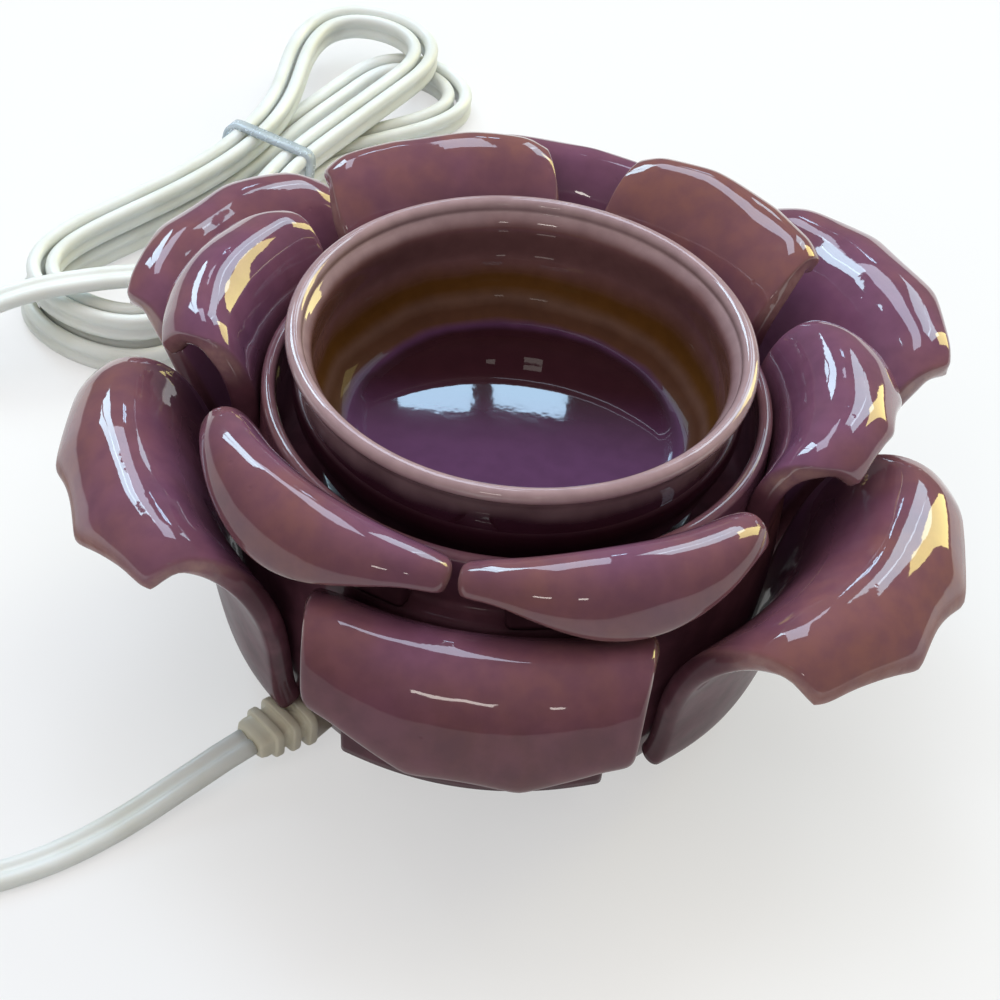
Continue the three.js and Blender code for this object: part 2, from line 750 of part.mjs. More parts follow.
// Strain relief: a flat neck through the wall with ribs that get lower towards the cord
function strainRelief() {
  const neck = barAlongX(reliefStart, reliefEnd, reliefWidth, reliefHeight, 1.6, glandHeight);
  const ribs = Array.from({ length: ribCount }, (_, i) => {
    const from = reliefFace + i * 2 * ribThickness;
    const stand = 2 * (ribStand - i * ribTaper);
    return barAlongX(from, from + ribThickness, reliefWidth + stand, reliefHeight + stand, 1.6, glandHeight);
  });
  return join(neck, ...ribs);
}
place(electrics, "strain_relief", strainRelief(), ivoryPlastic);

// Base
const coverRadius = footRadius - bodyWall - slip;
const baseHole = baseScrewRadius + bore;
const coverHoles = standoffPlaces.map(([x, y]) =>
  ring(baseHole, coverBottom - gap, coverTop + gap, 0, 12).translate(x, y, 0),
);
const coverDisc = ring(coverRadius, coverBottom, coverTop, 0, roundSegments);
place(electrics, "base_cover", cut(coverDisc, ...coverHoles), blackPlastic);
standoffPlaces.forEach(([x, y], i) => {
  const foot = coverTop + gap;
  const head = flangeBottom - gap;
  const threadTop = foot + baseThread + gap;
  const post = turned(
    [
      [0, threadTop],
      [baseHole, threadTop],
      [baseHole, foot],
      [standoffRadius, foot],
      [standoffRadius, head],
      [rivetRadius, head],
      [rivetRadius, panTop - gap],
      [0, panTop - gap],
    ],
    12,
  );
  place(electrics, `standoff_${i + 1}`, post.translate(x, y, 0), zincSteel);
  const headTop = coverBottom - gap;
  const fixing = screw(baseScrewRadius, baseScrewHead, headTop - baseScrewHead, foot + baseThread);
  place(electrics, `base_screw_${i + 1}`, fixing.translate(x, y, 0), zincSteel);
});
for (let i = 0; i < footPadCount; i++) {
  const angle = Math.PI / 12 + (i * 2 * Math.PI) / footPadCount;
  const pad = ring(footPadRadius, 0, footHeight, 0, 20);
  const x = footPadCircle * Math.cos(angle);
  const y = footPadCircle * Math.sin(angle);
  place(electrics, `rubber_foot_${i + 1}`, pad.translate(x, y, 0), footRubber);
}

// In-line switch
const switchTop = switchLower + gap + switchUpper;
const rockerHeight = switchTop - rockerDip;
const windowLength = rockerLength + 2 * slip;
const windowWidth = rockerWidth + 2 * slip;
const pinLength = windowWidth + 2 * rockerPinBite;
const switchScrewTop = switchLower + gap + switchScrewThread;

const switchOutline = roundedRectangle(switchLength, switchWidth, switchCorner);

function switchBase() {
  const cavity = prism(roundedRectangle(switchCavityLength, switchCavityWidth, 2), switchLower);
  const holes = [-1, 1].flatMap((side) => {
    const shank = ring(switchScrewRadius + bore, -gap, switchLower + gap, 0, 12);
    const head = ring(switchScrewRadius * screwHeadRatio + bore, -gap, switchScrewHead + 3 * gap, 0, 16);
    return [shank, head].map((hole) => hole.translate(side * switchScrewReach, 0, 0));
  });
  return cut(prism(switchOutline, switchLower), cavity.translate(0, 0, switchFloor), ...holes);
}

function switchCover() {
  const floor = switchLower + gap;
  const window = prism(roundedRectangle(windowLength, windowWidth, 1), switchUpper + 2 * gap);
  window.translate(0, 0, floor - gap);
  const pinHole = rockerPinRadius + bore;
  const pin = new THREE.CylinderGeometry(pinHole, pinHole, pinLength + 2 * gap, 12);
  pin.translate(0, 0, rockerHeight);
  const holes = [-1, 1].map((side) => {
    const hole = ring(switchScrewRadius + bore, floor - gap, switchScrewTop + gap, 0, 12);
    return hole.translate(side * switchScrewReach, 0, 0);
  });
  const shell = prism(switchOutline, switchUpper).translate(0, 0, floor);
  return cut(shell, window, pin, ...holes);
}

// The rocker about its pin, leaning to one side, with a dished top.
function switchRocker() {
  const half = rockerLength / 2;
  const shoulder = rockerRise / 4;
  const shape = new THREE.Shape();
  shape.moveTo(-half / 2, -rockerTuck);
  shape.lineTo(half / 2, -rockerTuck);
  shape.lineTo(half, shoulder);
  shape.lineTo(half * 0.93, rockerRise);
  shape.quadraticCurveTo(0, 2 * rockerDip - rockerRise, -half * 0.93, rockerRise);
  shape.lineTo(-half, shoulder);
  shape.closePath();
  shape.holes.push(new THREE.Path().absarc(0, 0, rockerPinRadius + bore, 0, 2 * Math.PI, true));
  const body = prism(shape, rockerWidth, 6).translate(0, 0, -rockerWidth / 2).rotateX(Math.PI / 2);
  return body.rotateY(THREE.MathUtils.degToRad(rockerRest)).translate(0, 0, rockerHeight);
}

place(switchGroup, "switch_base", switchBase(), ivoryPlastic);
place(switchGroup, "switch_cover", switchCover(), ivoryPlastic);
place(switchGroup, "switch_rocker", switchRocker(), ivoryPlastic);
const rockerPin = new THREE.CylinderGeometry(rockerPinRadius, rockerPinRadius, pinLength, 12);
place(switchGroup, "rocker_pin", rockerPin.translate(0, 0, rockerHeight), zincSteel);
[-1, 1].forEach((side, i) => {
  const fixing = screw(switchScrewRadius, switchScrewHead, gap, switchScrewTop);
  place(switchGroup, `switch_screw_${i + 1}`, fixing.translate(side * switchScrewReach, 0, 0), zincSteel);
  const strip = new THREE.BoxGeometry(contactLength, contactWidth, contactThickness);
  const blade = new THREE.BoxGeometry(contactThickness, contactWidth, contactHeight);
  const bladeReach = -side * (contactLength - contactThickness);
  blade.translate(bladeReach / 2, 0, (contactHeight - contactThickness) / 2);
  const contact = join(strip, blade);
  contact.translate(side * contactReach, 0, switchFloor + gap + contactThickness / 2);
  place(switchGroup, `switch_contact_${i + 1}`, contact, brass);
});

// Plug, lying flat, with a body that narrows to the cord
function plugBody() {
  const outline = (tail, full) => {
    const shape = new THREE.Shape();
    shape.moveTo(0, -tail / 2);
    shape.lineTo(plugNeck, -tail / 2);
    shape.quadraticCurveTo(plugNeck * 1.5, -full / 2, plugNeck * 2.2, -full / 2);
    shape.lineTo(plugLength, -full / 2);
    shape.lineTo(plugLength, full / 2);
    shape.lineTo(plugNeck * 2.2, full / 2);
    shape.quadraticCurveTo(plugNeck * 1.5, full / 2, plugNeck, tail / 2);
    shape.lineTo(0, tail / 2);
    return shape;
  };
  const plan = prism(outline(plugTailWidth, plugWidth), plugHeight).translate(0, 0, -plugHeight / 2);
  const side = prism(outline(plugTailHeight, plugHeight), plugWidth).translate(0, 0, -plugWidth / 2);
  return geometryOf(solid(plan).intersect(solid(side.rotateX(Math.PI / 2))));
}
place(plugGroup, "plug_body", plugBody(), ivoryPlastic);
bladeWidths.forEach((width, i) => {
  const blade = new THREE.BoxGeometry(bladeLength, bladeThickness, width);
  const hole = new THREE.CylinderGeometry(bladeHole, bladeHole, 3 * bladeThickness, 12);
  hole.translate(bladeLength / 4, 0, 0);
  const x = plugLength + gap + bladeLength / 2;
  place(plugGroup, `plug_blade_${i + 1}`, cut(blade, hole).translate(x, (i - 0.5) * bladePitch, 0), brass);
});

// Hank: loops that spiral in on the upper layer, step down along a run, and spiral out below. Each loop
// is the same figure drawn in at its waist, moved inwards by a pitch for every turn.
class HankCurve extends THREE.Curve {
  getPoint(share) {
    const loop = hankStart + share * (hankLoops + hankEnd - hankStart);
    const angle = 2 * Math.PI * loop;
    const sin = Math.sin(angle);
    const cos = Math.cos(angle);
    const reach = sin > 0 ? hankBackReach : hankFrontReach;
    const half = sin > 0 ? hankBackHalf : hankFrontHalf;
    const swell = (half - hankWaistHalf / Math.sqrt(3)) * 1.5 * Math.sqrt(3);
    const aside = hankWaistHalf + swell * sin ** 2;
    const outline = new THREE.Vector2(reach * sin, -aside * cos);
    const heading = new THREE.Vector2(reach * cos, sin * (aside - 2 * swell * cos ** 2)).normalize();
    const climb = 2 * (loop - hankLoops / 2) + 0.5;
    const ease = climb > 0 && climb < 1 ? hankClimbEase * Math.sin(2 * Math.PI * climb) ** 2 : 0;
    const turnsIn = Math.max(Math.min(loop, hankLoops - loop), 0) + ease;
    outline.add(new THREE.Vector2(-heading.y, heading.x).multiplyScalar(hankPitch * turnsIn));
    outline.rotateAround(new THREE.Vector2(), THREE.MathUtils.degToRad(hankTurn)).add(hankPlace);
    const height = cordWidth / 2 + tieLift * cos ** 4 + hankLayer * (1 - smooth(climb));
    return new THREE.Vector3(outline.x, outline.y, height);
  }
}

// The least room between the hank's strands, taking each as a strip on its edge.
function hankGap(curve) {
  const samples = curve.getSpacedPoints(600);
  const apart = Math.ceil((12 * cordThickness * 600) / curve.getLength());
  let least = Infinity;
  samples.forEach((a, i) => {
    for (let j = i + apart; j < samples.length; j++) {
      const b = samples[j];
      const aside = Math.hypot(a.x - b.x, a.y - b.y) - cordThickness;
      least = Math.min(least, Math.max(aside, Math.abs(a.z - b.z) - cordWidth));
    }
  });
  return least;
}

const tieLift = tieThickness + gap;
const hankCurve = new HankCurve();
hankCurve.arcLengthDivisions = 800;
const onEdge = Math.PI / 2;
const hankSection = flatSection(cordWidth, cordThickness, loopSides);
const hankSteps = Math.round(hankLoops * loopSteps);
place(warmer, "cord_hank", sweep(hankCurve, hankSection, hankSteps, () => onEdge), cordVinyl);
console.log(`least gap in the hank: ${hankGap(hankCurve).toFixed(2)} mm`);

// Tie: a band round the waist of the hank
function cordTie() {
  const inside = 2 * (hankWaistHalf + cordThickness / 2 + gap);
  const tall = tieLift + hankLayer + cordWidth - tieThickness + gap;
  const band = roundedRectangle(inside + 2 * tieThickness, tall + 2 * tieThickness, tieCorner);
  band.holes.push(roundedRectangle(inside, tall, tieCorner - tieThickness));
  const upright = prism(band, tieWidth, 3).rotateX(Math.PI / 2);
  upright.translate(0, tieWidth / 2, tall / 2 + tieThickness);
  upright.rotateZ(THREE.MathUtils.degToRad(hankTurn - 90));
  return upright.translate(hankPlace.x, hankPlace.y, 0);
}
place(warmer, "cord_tie", cordTie(), tiePlastic);

// Free stretches of the cord, by points chosen along the table
const cordSection = flatSection(cordWidth, cordThickness, 8);
const onTable = cordThickness / 2;
const switchMiddle = switchLower + gap / 2;
const out = new THREE.Vector3(reliefEnd + gap, 0, glandHeight).applyEuler(electrics.rotation);
const leadRoute = [
  [out.x, out.y, out.z],
  [-53.6, -51.8, 5.9],
  [-60.5, -58, 4.2],
  [-71, -68.6, 2.4],
  [-83.2, -79.6, onTable],
  [-96.5, -88, onTable],
  [-111, -93.5, onTable],
  [-126.5, -93.2, onTable],
  [-140, -85, 2.2],
  [-147.6, -71.5, 3.6],
  [switchPlace.x, switchPlace.y - switchLength / 2 - 7.5, switchMiddle - 0.4],
  [switchPlace.x, switchPlace.y - switchLength / 2 - gap, switchMiddle],
];
const hankIn = hankCurve.getPoint(0);
const hankInward = hankCurve.getTangent(0);
const returnRoute = [
  [switchPlace.x, switchPlace.y + switchLength / 2 + gap, switchMiddle],
  [switchPlace.x, switchPlace.y + switchLength / 2 + 8, switchMiddle - 0.6],
  [-150, 35, 3.2],
  [-149.6, 47, 2.2],
  [-147, 57, 3.4],
  [-141, 66, 9],
  [-131.5, 73.5, 16],
  [-119, 79.5, 19.4],
  [-106, 85.5, 19.8],
  [-93.5, 89.5, 19.8],
  [-82, 92, 19.8],
  [-73.5, 96.5, 19.6],
  [-68.4, 104.5, 18.8],
  [-67, 113.5, 17.4],
  [-67.2, 122.5, 14.6],
  [hankIn.x - 8 * hankInward.x, hankIn.y - 8 * hankInward.y, hankIn.z + 0.1],
  [hankIn.x - gap * hankInward.x, hankIn.y - gap * hankInward.y, hankIn.z],
];
const hankOut = hankCurve.getPoint(1);
const hankOutward = hankCurve.getTangent(1);
const plugAlong = new THREE.Vector3(1, 0, 0).applyEuler(plugGroup.rotation);
const beforePlug = (back, drop) => [
  plugPlace.x - back * plugAlong.x,
  plugPlace.y - back * plugAlong.y,
  plugHeight / 2 - drop,
];
const tailRoute = [
  [hankOut.x + gap * hankOutward.x, hankOut.y + gap * hankOutward.y, hankOut.z],
  [hankOut.x + 8 * hankOutward.x, hankOut.y + 8 * hankOutward.y, hankOut.z],
  [-41.5, 176.5, 3.8],
  [-32, 178.5, 4.4],
  beforePlug(19, 3),
  beforePlug(8, 0.6),
  beforePlug(gap, 0),
];
const toEdge = (from, to) => (share) => onEdge * smooth((share - from) / (to - from));
place(warmer, "cord_lead", sweep(curveThrough(leadRoute), cordSection, 18), cordVinyl);
const returnCurve = curveThrough(returnRoute);
place(warmer, "cord_return", sweep(returnCurve, cordSection, 28, toEdge(0.72, 0.9)), cordVinyl);
place(warmer, "cord_tail", sweep(curveThrough(tailRoute), cordSection, 14, toEdge(0.7, 0.2)), cordVinyl);

export default warmer;
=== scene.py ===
"""Looks of an electric wax warmer: a glazed ceramic flower round a lift-off wax dish, and its flat cord."""
import logging
import math
from dataclasses import dataclass, field
from enum import Enum
from typing import Sequence

import bmesh
import bpy
import numpy as np
from mathutils import Matrix, Vector


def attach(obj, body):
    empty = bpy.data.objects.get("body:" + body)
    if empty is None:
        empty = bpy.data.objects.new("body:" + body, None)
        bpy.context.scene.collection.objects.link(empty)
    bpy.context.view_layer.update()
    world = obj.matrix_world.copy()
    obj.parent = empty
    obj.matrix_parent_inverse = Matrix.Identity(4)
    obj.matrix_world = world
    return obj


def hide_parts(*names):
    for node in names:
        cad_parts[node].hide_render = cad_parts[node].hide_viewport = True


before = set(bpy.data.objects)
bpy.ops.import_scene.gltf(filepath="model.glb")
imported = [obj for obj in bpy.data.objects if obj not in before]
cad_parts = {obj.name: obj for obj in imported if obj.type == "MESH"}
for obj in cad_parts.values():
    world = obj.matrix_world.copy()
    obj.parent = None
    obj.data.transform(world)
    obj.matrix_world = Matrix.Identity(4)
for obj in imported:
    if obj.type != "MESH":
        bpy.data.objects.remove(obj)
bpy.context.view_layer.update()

MM = 0.001
SAME_PLACE = 1e-6
log = logging.getLogger("wax_warmer")

Colour = tuple[float, float, float]
Point = tuple[float, float, float]
Handle = tuple[float, float]


class Body(Enum):
    """The CAD bodies that new pieces ride on."""

    WARMER = "warmer"
    DISH = "dish"


class Slot(Enum):
    """The record's material slots."""

    GLAZE = "glaze"
    DISH_GLAZE = "dish_glaze"
    ALUMINIUM = "cast_aluminium"
    ELEMENT = "element"
    MICA = "mica"
    ZINC = "zinc_steel"
    BRASS = "brass"
    SLEEVE = "wire_sleeve"
    SPLICE = "splice_cap"
    BLACK = "black_plastic"
    RUBBER = "foot_rubber"
    VINYL = "cord_vinyl"
    IVORY = "ivory_plastic"
    TIE = "tie_plastic"


# Curves


def smooth(value: np.ndarray | float) -> np.ndarray:
    """Ease from 0 to 1, level at both ends."""
    t = np.clip(value, 0.0, 1.0)
    return t * t * (3.0 - 2.0 * t)


def bezier(handles: Sequence[Handle], share: np.ndarray) -> np.ndarray:
    """Points of a Bezier curve.

    Args:
        handles: radius and height of each handle.
        share: places along the curve, from 0 to 1, in an array of any shape.

    Returns:
        Radius and height for each share, on a last axis of two.
    """
    row = [np.broadcast_to(np.asarray(handle, float), share.shape + (2,)) for handle in handles]
    while len(row) > 1:
        row = [a + (b - a) * share[..., None] for a, b in zip(row, row[1:])]
    return row[0]


def evenly(points: np.ndarray, spacing: float, axes: int = 3) -> np.ndarray:
    """Points at an even spacing along a line of closely set ones.

    Args:
        points: the line, one row for each point.
        spacing: the distance between the new points.
        axes: how many leading columns are a place; the others are carried along.

    Returns:
        The new points, the two ends among them.
    """
    steps = np.linalg.norm(np.diff(points[:, :axes], axis=0), axis=1)
    reach = np.concatenate([[0.0], np.cumsum(steps)])
    places = np.linspace(0.0, reach[-1], max(2, round(reach[-1] / spacing) + 1))
    return np.stack([np.interp(places, reach, column) for column in points.T], axis=1)


def curve_through(points: Sequence[Sequence[float]], spacing: float, axes: int = 3) -> np.ndarray:
    """One smooth curve through given points.

    Args:
        points: the points; columns past the first axes are carried along.
        spacing: the distance between the points of the result.
        axes: how many leading columns are a place.

    Returns:
        Points on the curve at that spacing.
    """
    knots = np.asarray(points, float)
    apart = np.linalg.norm(np.diff(knots[:, :axes], axis=0), axis=1)
    stamp = np.concatenate([[0.0], np.cumsum(np.sqrt(apart))])[:, None]
    pace = np.diff(knots, axis=0) / np.diff(stamp, axis=0)
    across = (knots[2:] - knots[:-2]) / (stamp[2:] - stamp[:-2])
    heading = np.concatenate([pace[:1], pace[:-1] - across + pace[1:], pace[-1:]])
    samples_between_knots = 24
    t = np.linspace(0.0, 1.0, samples_between_knots, endpoint=False)[:, None]
    stretches = []
    for i in range(len(knots) - 1):
        span = stamp[i + 1] - stamp[i]
        start = (1 + 2 * t) * (1 - t) ** 2 * knots[i] + t * (1 - t) ** 2 * span * heading[i]
        end = t * t * (3 - 2 * t) * knots[i + 1] + t * t * (t - 1) * span * heading[i + 1]
        stretches.append(start + end)
    return evenly(np.concatenate([*stretches, knots[-1:]]), spacing, axes)


def turned_about(angle: float | np.ndarray, points: np.ndarray) -> np.ndarray:
    """Turn points about the upright axis.

    Args:
        angle: degrees, anticlockwise from above, one for all the points or one for each.
        points: places on a last axis of two or three.

    Returns:
        The turned places.
    """
    turn = np.radians(angle)
    x = points[..., 0]
    y = points[..., 1]
    made = np.array(points, float)
    made[..., 0] = x * np.cos(turn) - y * np.sin(turn)
    made[..., 1] = x * np.sin(turn) + y * np.cos(turn)
    return made


def rounded_square(angle: np.ndarray, square: float) -> tuple[np.ndarray, np.ndarray]:
    """An outline between a circle and a square.

    Args:
        angle: places round the outline, in radians.
        square: 2 for a circle, more for squarer corners.

    Returns:
        How far across and how far up each place lies, from -1 to 1.
    """
    across = np.sign(np.cos(angle)) * np.abs(np.cos(angle)) ** (2.0 / square)
    upward = np.sign(np.sin(angle)) * np.abs(np.sin(angle)) ** (2.0 / square)
    return across, upward


# Meshes


@dataclass
class Skin:
    """The surface of one piece in the making, in millimetres, with values painted on its points."""

    vertices: list[np.ndarray] = field(default_factory=list)
    faces: list[tuple[int, ...]] = field(default_factory=list)
    paint: dict[str, list[np.ndarray]] = field(default_factory=dict)
    count: int = 0

    def grid(
        self, points: np.ndarray, ring: bool = False, flip: bool = False, **paint: np.ndarray
    ) -> "Skin":
        """Add a sheet of four-sided faces.

        Args:
            points: places by row and column, on a last axis of three.
            ring: whether the last column meets the first.
            flip: whether the faces look the other way.
            paint: values by row and column, by name.

        Returns:
            This skin.
        """
        rows, columns = points.shape[:2]
        around = columns if ring else columns - 1
        for row in range(rows - 1):
            for column in range(around):
                beside = (column + 1) % columns
                first = self.count + row * columns
                above = first + columns
                face = (first + column, first + beside, above + beside, above + column)
                self.faces.append(face[::-1] if flip else face)
        self.vertices.append(points.reshape(-1, 3))
        for name, values in paint.items():
            self.paint.setdefault(name, []).append(np.broadcast_to(values, points.shape[:2]).reshape(-1))
        self.count += rows * columns
        return self

    def tube(self, points: np.ndarray) -> "Skin":
        """Add a tube with flat ends.

        Args:
            points: places by section and step, on a last axis of three.

        Returns:
            This skin.
        """
        first = self.count
        around = points.shape[1]
        self.grid(points, ring=True)
        self.faces.append(tuple(range(first, first + around)))
        self.faces.append(tuple(range(self.count - 1, self.count - around - 1, -1)))
        return self

    def piece(self, name: str) -> bpy.types.Object:
        """Make the object, with points in one place joined and faces looking out.

        Args:
            name: the piece's name.

        Returns:
            The new object, in metres.
        """
        mesh = bpy.data.meshes.new(name)
        mesh.from_pydata((np.concatenate(self.vertices) * MM).tolist(), [], self.faces)
        for label, values in self.paint.items():
            layer = mesh.attributes.new(label, "FLOAT", "POINT")
            layer.data.foreach_set("value", np.concatenate(values).astype(np.float32))
        work = bmesh.new()
        work.from_mesh(mesh)
        bmesh.ops.remove_doubles(work, verts=work.verts, dist=SAME_PLACE)
        bmesh.ops.recalc_face_normals(work, faces=work.faces)
        work.to_mesh(mesh)
        work.free()
        mesh.shade_smooth()
        made = bpy.data.objects.new(name, mesh)
        bpy.context.scene.collection.objects.link(made)
        return made


def lathe(profile: np.ndarray, steps: int, wobble: float = 0.0) -> np.ndarray:
    """Turn a profile round the upright axis.

    Args:
        profile: radius and height of each point.
        steps: how many points each ring has.
        wobble: how far a ring strays from a circle, as on a hand-poured piece.

    Returns:
        Places by profile point and step.
    """
    angle = np.linspace(0.0, 2.0 * math.pi, steps, endpoint=False)
    stray = 1.0 + wobble * (np.sin(2 * angle + 0.6) + 0.6 * np.sin(3 * angle + 2.1)) / profile[:, :1].max()
    radius = profile[:, :1] * stray
    height = np.broadcast_to(profile[:, 1:2], radius.shape)
    return np.stack([radius * np.sin(angle), -radius * np.cos(angle), height], axis=-1)


def loft(stations: Sequence[tuple[float, float, float]], steps: int, square: float) -> np.ndarray:
    """Sections like rounded rectangles, set along X.

    Args:
        stations: place along X, half width and half height of each section.
        steps: how many points go round a section.
        square: 2 for ellipses, more for squarer corners.

    Returns:
        Places by section and step, about the X axis.
    """
    across, upward = rounded_square(np.linspace(0.0, 2.0 * math.pi, steps, endpoint=False), square)
    rows = [np.stack([np.full(steps, x), w * across, h * upward], axis=-1) for x, w, h in stations]
    return np.stack(rows)


def arc(centre: Handle, radius: float, start: float, end: float, steps: int) -> np.ndarray:
    """Points on an arc of a profile, by degrees from outward towards up."""
    angle = np.radians(np.linspace(start, end, steps))
    return np.stack([centre[0] + radius * np.cos(angle), centre[1] + radius * np.sin(angle)], axis=1)


# Finishes


class Shader:
    """A node material in the making, round one Principled shader."""

    def __init__(self, name: str) -> None:
        """Start an empty material.

        Args:
            name: the material's name.
        """
        self.material = bpy.data.materials.new(name)
        self.material.use_nodes = True
        self.tree = self.material.node_tree
        self.surface = self.tree.nodes["Principled BSDF"]

    def add(self, kind: str, **settings: object) -> bpy.types.Node:
        """Add a node.

        Args:
            kind: the node's type.
            settings: values of its properties, by name.

        Returns:
            The node.
        """
        node = self.tree.nodes.new(kind)
        for name, value in settings.items():
            setattr(node, name, value)
        return node

    def join(self, source: bpy.types.NodeSocket, target: bpy.types.NodeSocket) -> None:
        """Link one socket to another."""
        self.tree.links.new(source, target)

    def fix(self, **values: object) -> None:
        """Set sockets of the shader that are the same all over.

        Args:
            values: a value for each socket, by its name with _ for a space.
        """
        for name, value in values.items():
            self.surface.inputs[name.replace("_", " ")].default_value = value

    def feed(self, socket: str, source: bpy.types.NodeSocket) -> None:
        """Link a socket of the shader."""
        self.join(source, self.surface.inputs[socket])

    def painted(self, name: str) -> bpy.types.NodeSocket:
        """The value painted on the mesh under that name."""
        return self.add("ShaderNodeAttribute", attribute_name=name).outputs["Fac"]

    def place(self, stretch: Point = (1.0, 1.0, 1.0)) -> bpy.types.NodeSocket:
        """The object's own coordinates.

        Args:
            stretch: what each axis is multiplied by.

        Returns:
            The coordinates.
        """
        mapping = self.add("ShaderNodeMapping")
        mapping.inputs["Scale"].default_value = stretch
        self.join(self.add("ShaderNodeTexCoord").outputs["Object"], mapping.inputs["Vector"])
        return mapping.outputs["Vector"]

    def depth(self) -> bpy.types.NodeSocket:
        """How far back a point lies on the object.

        Returns:
            The distance behind the middle, in metres.
        """
        parts = self.add("ShaderNodeSeparateXYZ")
        self.join(self.place(), parts.inputs["Vector"])
        return parts.outputs["Y"]

    def noise(
        self, size: float, detail: float = 2.0, stretch: Point = (1.0, 1.0, 1.0)
    ) -> bpy.types.NodeSocket:
        """Soft mottling.

        Args:
            size: how large a patch is, in millimetres.
            detail: how many finer layers are added.
            stretch: how the pattern is drawn out along each axis.

        Returns:
            A value about a half.
        """
        node = self.add("ShaderNodeTexNoise")
        node.inputs["Scale"].default_value = 1.0 / (size * MM)
        node.inputs["Detail"].default_value = detail
        self.join(self.place(stretch), node.inputs["Vector"])
        return node.outputs["Fac"]

    def cells(self, size: float) -> bpy.types.NodeSocket:
        """The distance from scattered points.

        Args:
            size: how far apart the points lie, in millimetres.

        Returns:
            The distance, as a share of that size.
        """
        node = self.add("ShaderNodeTexVoronoi")
        node.inputs["Scale"].default_value = 1.0 / (size * MM)
        self.join(self.place(), node.inputs["Vector"])
        return node.outputs["Distance"]

    def span(
        self, source: bpy.types.NodeSocket, low: float, high: float, to_low: float, to_high: float
    ) -> bpy.types.NodeSocket:
        """Map a range of a value smoothly to another range.

        Args:
            source: the value.
            low: where its range starts.
            high: where its range ends.
            to_low: what the start becomes.
            to_high: what the end becomes.

        Returns:
            The new value.
        """
        node = self.add("ShaderNodeMapRange", interpolation_type="SMOOTHSTEP")
        for name, value in zip(("From Min", "From Max", "To Min", "To Max"), (low, high, to_low, to_high)):
            node.inputs[name].default_value = value
        self.join(source, node.inputs["Value"])
        return node.outputs["Result"]

    def maths(
        self, operation: str, first: bpy.types.NodeSocket, second: bpy.types.NodeSocket | float
    ) -> bpy.types.NodeSocket:
        """One sum on two values.

        Args:
            operation: what is done with them.
            first: the first value.
            second: the second one, or a plain number.

        Returns:
            The result.
        """
        node = self.add("ShaderNodeMath", operation=operation)
        self.join(first, node.inputs[0])
        if isinstance(second, float):
            node.inputs[1].default_value = second
        else:
            self.join(second, node.inputs[1])
        return node.outputs["Value"]

    def ramp(
        self, source: bpy.types.NodeSocket, stops: Sequence[tuple[float, Colour]]
    ) -> bpy.types.NodeSocket:
        """Colours along a value.

        Args:
            source: the value.
            stops: place and colour of each stop, in order.

        Returns:
            The colour.
        """
        node = self.add("ShaderNodeValToRGB")
        elements = node.color_ramp.elements
        while len(elements) < len(stops):
            elements.new(0.5)
        for element, (place, colour) in zip(elements, stops):
            element.position = place
            element.color = (*colour, 1.0)
        self.join(source, node.inputs["Fac"])
        return node.outputs["Color"]

    def blend(
        self,
        share: bpy.types.NodeSocket,
        first: bpy.types.NodeSocket | Colour,
        second: bpy.types.NodeSocket | Colour,
        way: str = "MIX",
    ) -> bpy.types.NodeSocket:
        """Mix two colours by a share.

        Args:
            share: how much of the second colour there is.
            first: a colour or where it comes from.
            second: the same.
            way: the blend mode.

        Returns:
            The mixed colour.
        """
        node = self.add("ShaderNodeMix", data_type="RGBA", blend_type=way)
        self.join(share, node.inputs["Factor"])
        for socket, value in ((node.inputs["A"], first), (node.inputs["B"], second)):
            if isinstance(value, tuple):
                socket.default_value = (*value, 1.0)
            else:
                self.join(value, socket)
        return node.outputs["Result"]

    def bump(
        self, height: bpy.types.NodeSocket, depth: float, under: bpy.types.NodeSocket | None = None
    ) -> bpy.types.NodeSocket:
        """Raise the surface by a value.

        Args:
            height: the value, where 1 is the full depth.
            depth: how far that is, in millimetres.
            under: a bump that this one is added to.

        Returns:
            The bent normal.
        """
        node = self.add("ShaderNodeBump")
        node.inputs["Distance"].default_value = depth * MM
        self.join(height, node.inputs["Height"])
        if under is not None:
            self.join(under, node.inputs["Normal"])
        return node.outputs["Normal"]


